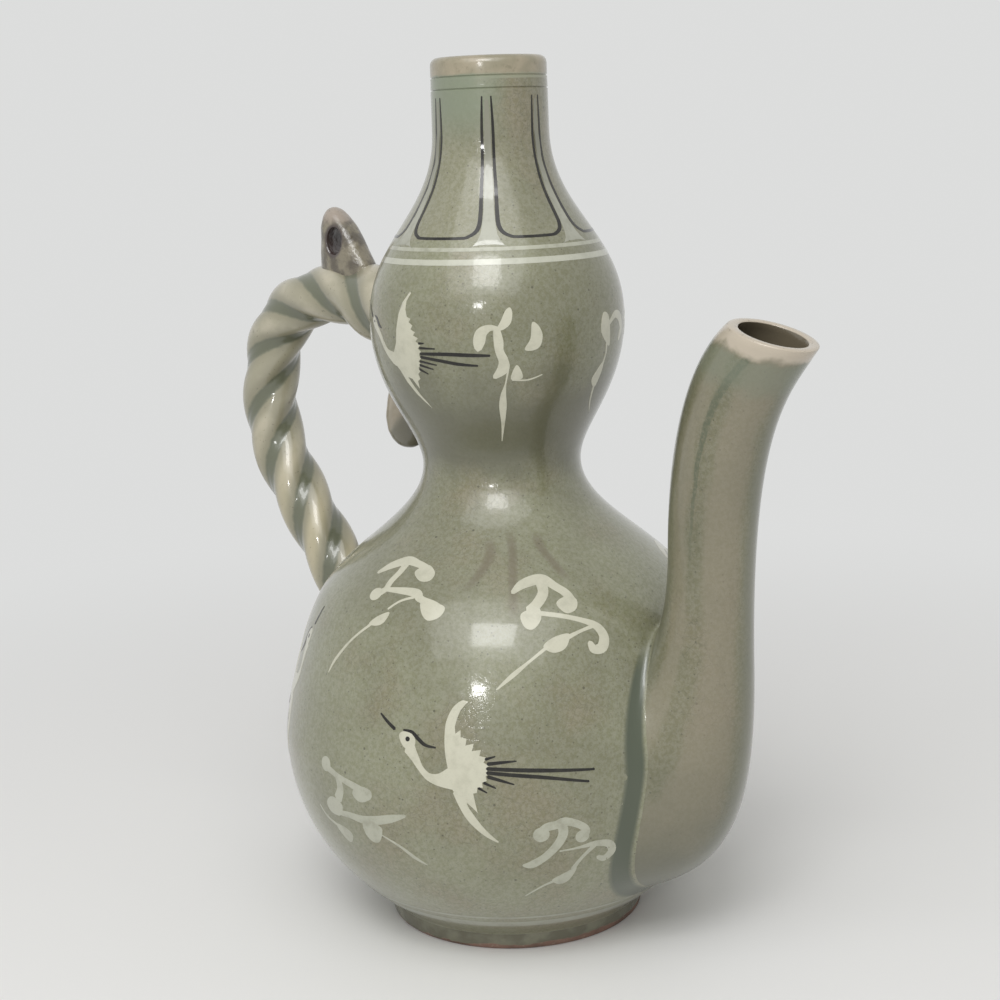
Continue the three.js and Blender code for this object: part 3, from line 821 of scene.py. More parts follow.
def slip_bead(name, surface, starts, turns, run, wall_reach, tube_reach, pool_soft, pool_share):
    """A soft web in the corner between the body and a tube that leaves it."""
    sides = len(turns)
    corner = [surface(start, turn) for start, turn in zip(starts, turns)]
    corner_middle = sum(corner, Vector()) / sides
    rings = []
    pools = []
    for side, (start, turn) in enumerate(zip(starts, turns)):
        here = corner[side]
        along = corner[(side + 1) % sides] - corner[side - 1]
        away = wall_normal(here).cross(along).normalized()
        if away.dot(here - corner_middle) < 0:
            away = -away
        top = start
        while (surface(top, turn) - here).length < tube_reach(turn):
            top += run
        reached = here + away * wall_reach(turn)
        foot_of_bead = on_wall(reached, bead_lift)
        top_of_bead = surface(top, turn, -bead_lift)
        ring = []
        for step in range(bead_steps + 1):
            t = step / bead_steps
            ring.append(foot_of_bead * (1 - t) ** 2 + here * 2 * t * (1 - t) + top_of_bead * t * t)
            pools.append(pool_share(turn) * eased((1 - abs(2 * t - 1) - pool_edge) / pool_soft))
        ring.append(surface(top, turn, bead_inset))
        ring.append(on_wall(surface(start, turn, bead_inset), -bead_inset))
        ring.append(on_wall(reached, -bead_inset))
        rings.append([in_metres(p) for p in ring])
        pools += [0, 0, 0]
    pools += pools[:len(rings[0])]
    return set_in_scene(name, marked_skin("pool", rings + rings[:1], pools, closed_ends=False))


def narrower_on_top(widest, narrowest):
    """How far a web reaches at a turn of the spout, which is least on the spout's upper side."""
    return lambda turn: widest + (narrowest - widest) * eased(-math.cos(turn))


spout_bead = slip_bead(
    "spout_bead", spout_point, [spout_start(turn, 0, 0) for turn in turns_round], turns_round, web_run,
    narrower_on_top(*web_on_bulb), narrower_on_top(*web_on_spout), spout_pool_soft,
    lambda turn: eased((math.cos(turn) + pool_free_top) / pool_free_fade),
)
pooled_body = body_celadon("body celadon, pooled", pooled_green)
finish(spout_bead, pooled_body, "spout_slip_bead")


# Handle
# Three rolls of clay are twisted together like a rope, bent from the upper bulb over a crown and
# down to the shoulder of the lower bulb, and flattened on at both ends.
handle_bends = [
    [(26.0, 192.2), (52.3, 205.4), (108.0, 218.4), (108.0, 162.9)],
    [(108.0, 162.9), (108.0, 141.2), (88.3, 126.8), (62.4, 80.7)],
]
rope_radius = 10.2
root_flare = 2.9
flare_start = 26.0
flare_end = 42.0
strand_count = 3
strand_shift = 0.32
strand_sink = 2.2
strand_step = 0.25
groove_share = 0.86
lay_start_turns = -0.55
lay_top_turn = 57.05
lay_low_turn = 76.76
rope_step = 1.6
lobe_steps = 24
path_steps = 400
path_reach = 0.002
ridge_tan = (0.33, 0.31, 0.225)
ridge_pale = (0.45, 0.415, 0.315)
ridge_gold = (0.47, 0.42, 0.275)
# Painted shade for the flanks and grooves between the strands.
flank_shade = (0.265, 0.25, 0.175)
groove_shade = (0.122, 0.13, 0.085)
handle_speck = (0.08, 0.07, 0.04)


def lengths_along(points):
    """How far each point lies along the line through them."""
    lengths = [0.0]
    for before, after in zip(points, points[1:]):
        lengths.append(lengths[-1] + (Vector(after) - Vector(before)).length)
    return lengths


path_points = [rail(handle_bends, 2 * i / path_steps) for i in range(path_steps + 1)]
path_lengths = lengths_along(path_points)
handle_length = path_lengths[-1]


def handle_place(along):
    """The middle of the rope at a length along it, and the direction outward from its inner side."""
    here = between(path_lengths, path_points, along)
    share = 2 * between(path_lengths, range(path_steps + 1), along) / path_steps
    ahead = rail(handle_bends, min(share + path_reach, 2))
    run = (ahead - rail(handle_bends, max(share - path_reach, 0))).normalized()
    outward = Vector((0, 1, 0)).cross(Vector((-run.x, 0, run.y))).normalized()
    return Vector((-here.x, 0, here.y)), outward


def lay_angle(along):
    """How far the rope has turned at a length along it."""
    ease = (1 / lay_low_turn - 1 / lay_top_turn) / (2 * handle_length)
    return 2 * math.pi * (lay_start_turns + along / lay_top_turn + ease * along * along)


def rope_radius_at(along):
    return rope_radius + root_flare * (1 - eased((along - flare_start) / (flare_end - flare_start)))


def strand_section(along, index):
    """The (outward, across) points of one strand's section, and how deep each lies in the groove."""
    radius = rope_radius_at(along)
    shift = radius * strand_shift
    lobe_round = radius - shift
    half_sector = math.pi / strand_count
    half = half_sector + math.asin(shift / lobe_round * math.sin(half_sector))
    section = [(Vector((0, 0)), 1.0)]
    for step in range(lobe_steps + 1):
        angle = half * (2 * step / lobe_steps - 1)
        lobe = Vector((shift + lobe_round * math.cos(angle), lobe_round * math.sin(angle)))
        lobe *= max(1, radius * groove_share / lobe.length)
        section.append((lobe, abs(angle) / half))
    spin = Matrix.Rotation(lay_angle(along) + 2 * half_sector * index, 2)
    return [(spin @ p, depth) for p, depth in section]


def strand_point(along, index, spot):
    """A point of one strand's surface, in millimetres from the ewer's axis."""
    centre, outward = handle_place(along)
    p = strand_section(along, index)[spot][0]
    return centre + outward * p.x + Vector((0, p.y, 0))


def clear_of_wall(point_at, sink, along, step):
    """How far along a line it leaves the wall, going by steps from one of its ends."""
    while in_wall(point_at(along), sink):
        along += step
    return along


def strand_glaze():
    """Pale celadon on the ridges, golden lower down, and painted shade: darker green on the flanks and
    dark grey green in the grooves.
    """
    glaze = Glaze("handle celadon", ridge_tan)
    glaze.patches(ridge_pale, 0.38, 0.66, 1, 14, 4)
    glaze.coat(ridge_gold, glaze.ramp(glaze.height, 165, 115, 0, 0.7))
    groove = glaze.mark("groove")
    # Painted shade: the flanks and grooves between the strands are darkened by their depth.
    glaze.coat(flank_shade, glaze.ramp(groove, 0.1, 0.66))
    glaze.coat(groove_shade, glaze.ramp(glaze.swayed(groove, 0.16, 3, 3), 0.7, 0.86))
    glaze.patches(handle_speck, 0.66, 0.74, 0.5, 1.1, 2)
    return glaze.fired()


handle_glaze = strand_glaze()
strand_rows = math.ceil(handle_length / rope_step)
strand_spots = range(lobe_steps + 2)
for index in range(strand_count):
    lines = []
    for spot in strand_spots:
        start, end = [
            clear_of_wall(lambda along: strand_point(along, index, spot), strand_sink, along, step)
            for along, step in ((0.0, strand_step), (handle_length, -strand_step))
        ]
        lines.append((start, end))
    rings = []
    for row in range(strand_rows + 1):
        share = row / strand_rows
        rings.append([
            in_metres(strand_point(start + (end - start) * share, index, spot))
            for spot, (start, end) in zip(strand_spots, lines)
        ])
    depths = [depth for _, depth in strand_section(0, index)] * len(rings)
    strand = set_in_scene(f"handle_strand_{index + 1}_twisted", marked_skin("groove", rings, depths))
    finish(strand, handle_glaze, f"handle_strand_{index + 1}")


# Slip beads of the handle
# The rope's ends are scored, pressed on and webbed over with slip, at the upper bulb and at the
# shoulder of the lower bulb. The body's glaze runs over these webs and pools a little in them.
rope_turns = circle(60)
web_on_wall = 3.2
web_on_rope = 3.0
web_pool_soft = 0.9
web_step = 0.1


def rope_point(along, turn, depth=0.0):
    """A point of the rope's outside in millimetres from the ewer's axis, a depth in from it."""
    along = min(max(along, 0), handle_length)
    radius = rope_radius_at(along)
    shift = radius * strand_shift
    sector = 2 * math.pi / strand_count
    off = (turn - lay_angle(along)) % sector
    off = min(off, sector - off)
    out = shift * math.cos(off) + math.sqrt((radius - shift) ** 2 - (shift * math.sin(off)) ** 2)
    out = max(out, radius * groove_share) - depth
    centre, outward = handle_place(along)
    return centre + outward * out * math.cos(turn) + Vector((0, out * math.sin(turn), 0))


for root, end, step in (("upper", 0.0, web_step), ("lower", handle_length, -web_step)):
    starts = [clear_of_wall(lambda along: rope_point(along, turn), 0, end, step) for turn in rope_turns]
    bead = slip_bead(
        f"handle_{root}_bead", rope_point, starts, rope_turns, step,
        lambda turn: web_on_wall, lambda turn: web_on_rope, web_pool_soft, lambda turn: 1,
    )
    finish(bead, pooled_body, f"handle_{root}_slip_bead")


# Cord loop
# A small ear of clay stands on the crown of the handle, with a hole for the cord that ties on a lid.
# It is modelled by hand, so it is lumpy, the glaze lies thick in its hollow, and painted shade darkens its
# hole.
# Each ring of the ear: the middle of its width, its height, its width and its thickness.
ear_rings = [
    (-65.2, 204.5, 23.0, 11.0), (-65.2, 210.0, 23.0, 11.0), (-65.4, 214.0, 22.3, 11.0),
    (-66.7, 218.3, 19.2, 11.0), (-67.7, 222.7, 16.2, 10.5), (-69.1, 227.0, 12.9, 10.0),
    (-70.3, 230.6, 8.4, 7.8), (-70.8, 232.5, 5.4, 5.2), (-71.0, 233.5, 2.0, 2.0),
]
ear_thickness = ear_rings[0][3]
ear_hole = (-67.2, 222.2)
ear_hole_half = (3.3, 4.6)
ear_fullness = 0.75
ear_voxel = 0.45
hole_ring = circle(24)
loop_brown = (0.09, 0.075, 0.052)
loop_olive = (0.21, 0.185, 0.13)
loop_pink = (0.36, 0.3, 0.25)
# Painted shade for the cord hole.
hole_shade = (0.05, 0.034, 0.032)
loop_spot = (0.07, 0.052, 0.036)


def oval_ring(point_at, fullness=1.0):
    """A ring of points, each placed by its cosine and sine, which can swell for fuller corners."""
    full = [
        [math.copysign(abs(value) ** fullness, value) for value in (math.cos(a), math.sin(a))]
        for a in hole_ring
    ]
    return [in_metres(Vector(point_at(c, s))) for c, s in full]


def tube_of(rings):
    made = bmesh.new()
    ring_skin(made, rings)
    bmesh.ops.recalc_face_normals(made, faces=made.faces)
    return made


def softened(piece, voxel, rounds, cut=None):
    """Melts a roughly built piece into one soft lump, as a modeller's fingers leave it."""
    if cut:
        hole = piece.modifiers.new("hole", "BOOLEAN")
        hole.operation = "DIFFERENCE"
        hole.solver = "EXACT"
        hole.object = cut
    melt = piece.modifiers.new("melt", "REMESH")
    melt.mode = "VOXEL"
    melt.voxel_size = voxel * mm
    soften = piece.modifiers.new("soften", "SMOOTH")
    soften.factor = 0.5
    soften.iterations = rounds
    seen = bpy.context.evaluated_depsgraph_get()
    soft = bpy.data.meshes.new_from_object(piece.evaluated_get(seen))
    piece.modifiers.clear()
    piece.data = soft
    soft.shade_smooth()
    soft.materials.clear()
    if cut:
        bpy.data.objects.remove(cut)
    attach(piece, "root")


def loop_glaze():
    """Olive brown glaze that leaves the tip thin and pinkish, with painted shade, dark purple brown, in
    and round the hole.
    """
    glaze = Glaze("cord loop glaze", loop_brown)
    glaze.patches(loop_olive, 0.38, 0.62, 1, 5, 4)
    glaze.coat(loop_pink, glaze.ramp(glaze.swayed(glaze.height, 5.0, 5, 4), 229.5, 233, 0, 0.8))
    hole = in_metres(Vector((ear_hole[0], 0, ear_hole[1]))) / mm
    off_hole = glaze.vector("SUBTRACT", glaze.place, tuple(hole))
    off_hole = glaze.vector("MULTIPLY", off_hole, (1 / ear_hole_half[0], 0.0, 1 / ear_hole_half[1]))
    off_hole = glaze.node("VectorMath", {"operation": "LENGTH"}, i0=off_hole).outputs["Value"]
    # Painted shade, dark purple brown, in and round the hole.
    glaze.coat(hole_shade, glaze.ramp(off_hole, 1.05, 1.4, 0.95, 0))
    glaze.patches(loop_spot, 0.56, 0.74, 0.6, 2.4, 4, 0.7)
    paint = glaze.fired()
    glaze.bump(glaze.cloudy(2.6, 3), 0.9, 0.5)
    return paint


ear = plain_object("cord_loop_ear", tube_of([
    oval_ring(lambda c, s: (x + width / 2 * c, thickness / 2 * s, z), ear_fullness)
    for x, z, width, thickness in ear_rings
]))
ear_cut = plain_object("ear cut", tube_of([
    oval_ring(lambda c, s: (ear_hole[0] + ear_hole_half[0] * c, y, ear_hole[1] + ear_hole_half[1] * s))
    for y in (-ear_thickness, ear_thickness)
]))
softened(ear, ear_voxel, 12, ear_cut)
finish(ear, loop_glaze(), "cord_loop")


# Vine tail
# The cut end of the vine is pinched to a rounded bud that hangs against the upper bulb below the
# handle's root.
tail_path = [
    ((-36.5, 190), 6.0), ((-38.0, 180), 7.0), ((-40.6, 170), 8.2), ((-41.6, 163), 8.5),
    ((-41.5, 158.3), 7.9), ((-41.3, 155.4), 6.4), ((-41.2, 153.6), 4.5), ((-41.1, 152.6), 2.2),
]
tail_widest_half = 8.5
tail_half_thickness = 5.2
tail_voxel = 0.5
tail_dark_start = (-45, 0, 160)
tail_tan = (0.29, 0.25, 0.18)
tail_pink = (0.37, 0.32, 0.24)
tail_dark = (0.115, 0.11, 0.075)


def tail_glaze():
    """Thin pinkish glaze outside, darker on the side toward the bulb and toward the lower end."""
    glaze = Glaze("vine tail glaze", tail_tan)
    glaze.patches(tail_pink, 0.38, 0.62, 1, 5, 4)
    inward = glaze.towards((0.7, 0.0, -0.7), tuple(in_metres(Vector(tail_dark_start)) / mm))
    glaze.coat(tail_dark, glaze.ramp(glaze.swayed(inward, 4.0, 5, 4), 0.5, 5, 0, 0.9))
    return glaze.fired()


tail = plain_object("vine_tail_bud", tube_of([
    oval_ring(lambda c, s: (x + half * c, tail_half_thickness * half / tail_widest_half * s, z))
    for (x, z), half in tail_path
]))
softened(tail, tail_voxel, 8)
finish(tail, tail_glaze(), "vine_tail")


# White lines
# Narrow grooves are turned in the leather-hard wall, filled with white slip and scraped flush: a
# thick and a thin line on the shoulder of the upper bulb, and another pair above the foot.
line_depth = 0.9
line_lift = 0.04
band_steps = 4


def slip_colour(name, colour, stain, cover=0.6, shine=0.5):
    """Slip under the glaze: its colour, clouded here and there by the glaze over it."""
    glaze = Glaze(name, colour)
    glaze.patches(stain, 0.42, 0.74, cover, 5, 5, 0.65)
    glaze.patches(stain, 0.54, 0.74, 0.3, 0.6, 2, 0.7)
    glaze.shader.inputs["Specular IOR Level"].default_value = shine
    return glaze.fired()


white_slip = slip_colour("white slip", (0.535, 0.525, 0.415), (0.39, 0.385, 0.29))
line_slip = slip_colour("line slip", (0.47, 0.475, 0.39), (0.35, 0.355, 0.28))
thin_slip = slip_colour("thin white slip", (0.41, 0.415, 0.33), (0.27, 0.27, 0.2), 0.8)
foot_slip = slip_colour("worn white slip", (0.31, 0.32, 0.25), (0.22, 0.225, 0.16), 0.9)
black_slip = slip_colour("black slip", (0.008, 0.007, 0.005), (0.035, 0.034, 0.024), 0.6, 0.15)


def wall_band(low, high):
    """The outline of a band let into the wall between two heights."""
    heights = [low + (high - low) * i / band_steps for i in range(band_steps + 1)]
    outer = [on_wall(Vector((1, 0, z)), line_lift) for z in heights]
    inner = [on_wall(Vector((1, 0, z)), -line_depth) for z in heights]
    return [(p.x, p.z) for p in outer + inner[::-1]]


for node, low, high, slip in (
    ("shoulder_line_thick", 217.8, 219.5, line_slip),
    ("shoulder_line_thin", 221.8, 222.9, thin_slip),
    ("foot_line_thick", 11.4, 14.2, foot_slip),
    ("foot_line_thin", 16.2, 17.2, foot_slip),
):
    finish(turned_clay(f"{node}_slip", wall_band(low, high)), slip, node)


# Inlaid cranes and clouds
# The figures are carved a little way into the leather-hard wall and filled with white and black slip
# before firing. Cranes fly between drifting clouds on both bulbs.
inlay_lift = 0.05
black_lift = 0.07
inlay_depth = 0.4
inlay_cell = 2.2
cell_skew = (0.013, 0.017)
inlay_weld = 1e-5
inlay_sharp = 60
flow_steps = 5
stroke_tip = 0.4
wall_lengths = lengths_along(body_line)


def length_at(height):
    """How far up the wall's outer line a height lies."""
    return between(body_heights, wall_lengths, height)


def flowing(points, closed=False):
    """A smooth line through a few points, each a tuple of any length."""
    points = list(points)
    if closed:
        around = points[-1:] + points + points[:2]
    else:
        around = points[:1] + points + points[-1:]
    line = []
    for i in range(len(around) - 3):
        a, b, c, d = (Vector(p) for p in around[i:i + 4])
        for step in range(flow_steps):
            t = step / flow_steps
            line.append(
                (b * 2 + (c - a) * t + (a * 2 - b * 5 + c * 4 - d) * t * t
                 + (b * 3 - a - c * 3 + d) * t * t * t) / 2
            )
    if not closed:
        line.append(Vector(points[-1]))
    return line


def stroke(*points):
    """The outline of a stroke through (x, y, width) points, with rounded ends."""
    line = flowing(points)
    left, right = [], []
    for i, p in enumerate(line):
        run = (line[min(i + 1, len(line) - 1)] - line[max(i - 1, 0)]).xy.normalized()
        side = Vector((-run.y, run.x)) * p.z / 2
        left.append(p.xy + side)
        right.append(p.xy - side)
    ends = []
    for at, back in ((line[-1], line[-2]), (line[0], line[1])):
        ends.append(at.xy + (at - back).xy.normalized() * at.z * stroke_tip)
    return [tuple(p) for p in left + [ends[0]] + right[::-1] + [ends[1]]]


def lobe_of(*points):
    return [tuple(p) for p in flowing(points, closed=True)]


def disc(x, y, radius):
    return [(x + radius * math.cos(a), y + radius * math.sin(a)) for a in hole_ring]


def counter_clockwise(ring, points):
    area = sum(points[i].cross(points[j]) for i, j in zip(ring, ring[1:] + ring[:1]))
    return ring if area > 0 else ring[::-1]


def inlaid(name, shapes, slip, angle, height, size=1.0, turn=0.0, flip=False, spread=None):
    """Slip let into the wall, from outlines in millimetres round a middle at an angle and a height."""
    spread = spread or wall_radius(height)
    spin = Matrix.Rotation(math.radians(turn), 2)
    points, outlines = [], []
    for shape in shapes:
        ring = list(range(len(points), len(points) + len(shape)))
        points += [spin @ Vector((-x if flip else x, y)) * size for x, y in shape]
        outlines.append(counter_clockwise(ring, points))
    low = [min(p[k] for p in points) for k in (0, 1)]
    high = [max(p[k] for p in points) for k in (0, 1)]
    columns, rows = [int((high[k] - low[k]) / inlay_cell) + 1 for k in (0, 1)]
    for column in range(columns):
        for row in range(rows):
            points.append(Vector((
                low[0] + (column + 0.5) * inlay_cell + cell_skew[0] * row,
                low[1] + (row + 0.5) * inlay_cell + cell_skew[1] * column,
            )))
    flat, _, faces, *_ = geometry.delaunay_2d_cdt(points, [], outlines, 1, inlay_weld)
    middle_length = length_at(height)
    lift = black_lift if slip == black_slip else inlay_lift
    made = bmesh.new()
    tops, bottoms = {}, {}
    for i in {i for face in faces for i in face}:
        bearing = math.radians(angle) + flat[i].x / spread
        up = between(wall_lengths, body_heights, middle_length + flat[i].y)
        around = Vector((math.cos(bearing), math.sin(bearing), up))
        tops[i] = made.verts.new(in_metres(on_wall(around, lift)))
        bottoms[i] = made.verts.new(in_metres(on_wall(around, -inlay_depth)))
    edges = {}
    for face in faces:
        made.faces.new([tops[i] for i in face])
        made.faces.new([bottoms[i] for i in reversed(face)])
        edges.update({edge: True for edge in zip(face, face[1:] + face[:1])})
    for i, j in edges:
        if (j, i) not in edges:
            made.faces.new((tops[j], tops[i], bottoms[i], bottoms[j]))
    piece = set_in_scene(name, made, inlay_sharp)
    finish(piece, slip)
    return piece


wing_edge = [tuple(p) for p in flowing([
    (-4.1, -5.8), (-5.9, 1.6), (-6.8, 6.4), (-7.0, 11.9), (-6.4, 15.6), (-4.5, 19.2),
    (-1.8, 21.2), (0.3, 21.0),
])]
wing_feathers = [
    (-0.6, 20.1), (-2.2, 18.2), (-3.2, 15.8), (-3.8, 13.4), (-3.6, 11.4), (-2.0, 12.5), (-1.9, 10.4),
    (0.0, 10.0), (-0.4, 8.0), (2.2, 8.6), (1.6, 6.4), (4.4, 6.8), (3.9, 5.0), (6.0, 4.5), (5.1, 3.0),
    (6.7, 2.2), (5.9, 0.9), (7.0, 0.1), (5.7, -1.1), (6.0, -2.4), (4.6, -2.9), (4.8, -4.4),
    (3.2, -4.4), (3.0, -6.0), (0.6, -6.6),
]
crane_white = [
    wing_edge + wing_feathers,
    stroke((-18.4, 6.0, 4.0), (-16.3, 3.2, 2.7), (-14.4, 0.4, 1.9), (-11.8, -1.9, 2.3),
           (-8.4, -2.6, 3.9), (-4.5, -2.0, 7.0)),
    lobe_of((-22.3, 9.4), (-20.8, 10.8), (-18.0, 10.5), (-16.5, 8.3), (-17.5, 5.8), (-20.4, 6.2)),
    stroke((-2.0, -6.0, 4.4), (-1.3, -10.0, 2.6), (0.8, -14.0, 2.6), (3.7, -17.8, 2.0),
           (6.3, -20.4, 1.3), (8.6, -22.2, 0.5)),
    [(-1.2, -6.0), (-0.4, -9.0), (1.4, -10.6), (3.0, -12.4), (2.4, -9.2), (1.8, -5.6)],
]
crane_eye = [disc(-19.2, 8.7, 0.75)]
small_crane_white = [
    [(-7.7, 0.0), (-5.0, 4.6), (-4.4, 8.9), (-3.4, 13.2), (-1.9, 17.0), (0.9, 20.5), (1.4, 20.0),
     (-0.1, 17.6), (-0.3, 14.9), (0.4, 12.8), (2.0, 12.2), (1.2, 11.2), (2.7, 10.2), (1.9, 9.0),
     (3.6, 8.2), (2.8, 7.2), (4.6, 6.4), (3.6, 5.4), (5.3, 4.3), (4.2, 3.2), (5.4, 2.2),
     (4.4, 1.2), (5.1, 0.2), (3.9, -0.8), (4.6, -1.9), (3.4, -2.9), (3.9, -4.0), (2.7, -5.0),
     (3.1, -6.6), (1.9, -7.4), (1.7, -10.0), (0.6, -8.4), (-0.4, -6.8), (-2.3, -6.3),
     (-0.5, -9.6), (1.3, -12.5), (3.3, -15.2), (4.3, -16.8), (2.0, -14.6), (-0.7, -11.8),
     (-3.4, -8.1), (-5.4, -4.3), (-8.9, -0.6)],
    stroke((-18.1, 9.3, 2.6), (-14.8, 6.6, 1.9), (-12.8, 3.8, 1.8), (-10.6, 1.2, 2.2),
           (-6.6, -0.8, 4.4), (-4.4, -1.0, 3.0)),
    lobe_of((-20.4, 10.4), (-19.4, 11.6), (-17.9, 11.2), (-17.1, 9.8), (-17.8, 8.6), (-19.4, 9.0)),
]
small_crane_eye = [disc(-18.6, 10.2, 0.45)]
small_crane_black = [
    stroke((-25.4, 15.0, 0.4), (-23.2, 13.2, 0.8), (-21.0, 11.6, 0.9)),
    stroke((-18.2, 12.0, 0.5), (-16.4, 11.2, 1.0), (-14.8, 9.4, 1.0), (-13.2, 8.6, 0.5)),
    stroke((5.0, 1.6, 0.9), (14.0, 1.7, 1.1), (22.0, 1.4, 1.1), (27.6, 1.2, 0.7)),
    stroke((5.0, 0.6, 0.9), (12.0, -0.4, 1.0), (18.0, -1.4, 1.0), (23.8, -1.9, 0.6)),
    stroke((4.8, 4.8, 0.8), (6.6, 4.9, 0.4)),
    stroke((5.0, 3.4, 0.8), (10.4, 3.3, 0.4)),
    stroke((4.6, -0.8, 0.8), (10.4, -1.8, 0.4)),
    stroke((4.2, -2.0, 0.8), (9.0, -3.2, 0.4)),
    stroke((3.8, -3.4, 0.8), (6.8, -4.8, 0.4)),
]
crane_black = [
    stroke((-29.7, 15.1, 0.6), (-26.9, 13.0, 1.0), (-24.1, 11.2, 1.1)),
    stroke((-20.8, 11.2, 0.6), (-17.9, 10.9, 1.0), (-15.5, 9.0, 1.2), (-13.1, 7.4, 1.0),
           (-9.8, 6.9, 0.5)),
    stroke((6.2, 1.2, 1.1), (22.4, 0.1, 1.2), (38.4, -1.2, 0.7)),
    stroke((6.2, 0.0, 1.1), (22.4, -1.9, 1.1), (36.4, -4.6, 0.7)),
    stroke((6.4, 2.6, 1.1), (10.6, 3.0, 0.9), (14.9, 3.3, 0.4)),
    stroke((6.4, -1.2, 1.1), (10.0, -2.3, 0.9), (14.0, -3.6, 0.4)),
    stroke((5.8, 4.0, 0.9), (8.6, 4.8, 0.4)),
    stroke((5.2, -3.0, 0.9), (8.6, -4.6, 0.4)),
    stroke((3.6, -4.6, 0.8), (6.0, -6.0, 0.4)),
]
cloud_left = [
    stroke((-16.5, 3.4, 1.4), (-13.5, 6.4, 3.0), (-9.5, 8.9, 3.6), (-6.0, 10.0, 3.4),
           (-1.5, 9.4, 2.6), (2.5, 8.4, 2.4), (4.6, 7.0, 2.4)),
    lobe_of((-0.7, 6.0), (1.0, 8.4), (3.9, 9.3), (7.2, 6.7), (6.5, 3.6), (2.9, 3.2)),
    stroke((-6.5, 9.5, 3.4), (-6.8, 5.5, 2.6), (-8.0, 1.5, 2.4), (-8.2, -1.8, 2.4), (-10.4, -3.8, 3.0)),
    disc(-10.8, -4.0, 2.3),
    stroke((-7.5, -1.6, 1.6), (-0.4, -1.1, 2.6), (4.0, -1.4, 3.0), (6.0, -3.2, 2.4),
           (10.5, -4.4, 2.0), (13.2, -5.6, 1.6)),
    lobe_of((6.6, -4.0), (10.8, -4.0), (14.4, -5.4), (13.6, -8.7), (10.4, -10.2), (7.8, -7.8)),
    stroke((4.1, -2.6, 1.0), (-0.4, -4.8, 0.8), (-3.3, -8.0, 0.7)),
    lobe_of((-2.4, -9.0), (-2.8, -12.4), (-5.0, -14.0), (-7.8, -13.8), (-5.8, -11.0)),
    stroke((-7.0, -13.8, 0.9), (-12.2, -19.8, 0.7), (-16.7, -27.2, 0.9), (-18.5, -32.0, 0.3)),
]
cloud_right = [
    stroke((-11.6, 4.6, 1.5), (-8.5, 7.2, 3.2), (-4.0, 8.7, 3.8), (-0.5, 8.6, 3.6), (2.5, 5.8, 3.0),
           (5.3, 3.0, 3.0), (6.2, 0.4, 3.2)),
    lobe_of((1.4, -0.4), (4.6, 1.6), (8.0, 0.4), (7.0, -3.0), (3.6, -4.0)),
    stroke((-1.8, 7.6, 3.8), (-1.9, 3.8, 3.4), (-4.4, 0.2, 3.2), (-7.0, -2.0, 3.0)),
    lobe_of((-9.6, -3.0), (-9.0, -7.2), (-6.6, -8.2), (-4.0, -5.0), (-4.4, -1.2)),
    stroke((-5.0, -3.0, 1.6), (2.0, -4.7, 1.5), (8.0, -7.1, 1.7), (11.4, -9.4, 2.4),
           (12.8, -12.8, 2.8), (11.6, -16.0, 3.2), (9.2, -16.2, 2.6), (8.4, -14.0, 1.4)),
    stroke((10.4, -9.2, 1.2), (6.4, -10.2, 1.0), (2.6, -11.6, 1.4)),
    lobe_of((3.2, -10.8), (1.4, -14.8), (-2.0, -15.8), (-4.4, -13.8), (-2.6, -11.8), (0.5, -10.6)),
    stroke((-3.8, -14.2, 1.0), (-8.3, -17.8, 0.8), (-12.7, -21.7, 1.3), (-16.7, -25.7, 0.4)),
]
cloud_low_left = [
    disc(-10.0, 7.6, 2.4),
    stroke((-9.0, 6.6, 2.2), (-3.0, 4.8, 2.0), (2.6, 3.6, 2.4), (7.0, 2.4, 2.8)),
    lobe_of((2.2, 0.8), (5.0, 3.8), (9.8, 3.4), (9.8, 0.6), (5.2, -1.4)),
    stroke((-4.0, 5.0, 2.6), (-3.2, 1.0, 3.0), (-5.0, -2.6, 3.4)),
    lobe_of((-8.0, -2.6), (-11.8, -5.6), (-10.2, -8.6), (-5.4, -8.6), (-3.4, -4.4)),
    stroke((-8.0, -7.8, 1.6), (-1.0, -7.2, 2.2), (5.0, -7.4, 2.8), (11.0, -6.4, 3.0),
           (17.0, -4.6, 2.6), (21.8, -3.0, 1.0)),
    lobe_of((5.4, -8.0), (5.0, -12.2), (7.4, -14.8), (10.6, -14.0), (12.4, -8.6)),
    stroke((-16.8, -8.0, 0.5), (-14.0, -11.0, 0.9), (-8.6, -13.0, 1.2)),
    lobe_of((-9.4, -12.8), (-6.4, -17.2), (-3.6, -18.0), (-1.6, -14.6), (-4.6, -12.6)),
    stroke((12.0, -11.4, 0.4), (18.4, -14.5, 1.0), (22.9, -17.9, 1.3), (26.7, -20.2, 0.3)),
]
cloud_low_right = [
    disc(-9.2, 3.2, 2.5),
    stroke((-9.4, 4.0, 2.4), (-7.6, 5.6, 2.8), (-4.6, 6.2, 2.8), (-2.2, 7.0, 2.8), (1.5, 5.8, 2.4),
           (4.2, 3.8, 2.4), (4.6, 1.8, 2.4)),
    disc(3.4, 1.2, 2.2),
    stroke((-3.0, 6.2, 3.0), (-2.6, 2.8, 3.0), (-4.4, -1.0, 2.8), (-8.0, -5.0, 2.7),
           (-12.0, -7.6, 2.9), (-14.6, -7.8, 1.2)),
    stroke((-3.4, -3.3, 0.6), (1.7, -2.9, 0.8), (7.8, -2.2, 2.0), (12.4, -3.2, 2.6),
           (13.8, -6.2, 2.8), (11.6, -8.6, 2.4), (9.2, -7.6, 1.4)),
    stroke((7.6, -2.8, 1.6), (3.8, -6.8, 1.2), (1.2, -11.0, 1.6)),
    lobe_of((2.4, -10.6), (0.4, -15.8), (-2.8, -17.2), (-5.4, -15.0), (-1.8, -12.6)),
    stroke((-4.4, -15.4, 1.0), (-8.6, -17.6, 0.8), (-14.2, -21.9, 0.4)),
]
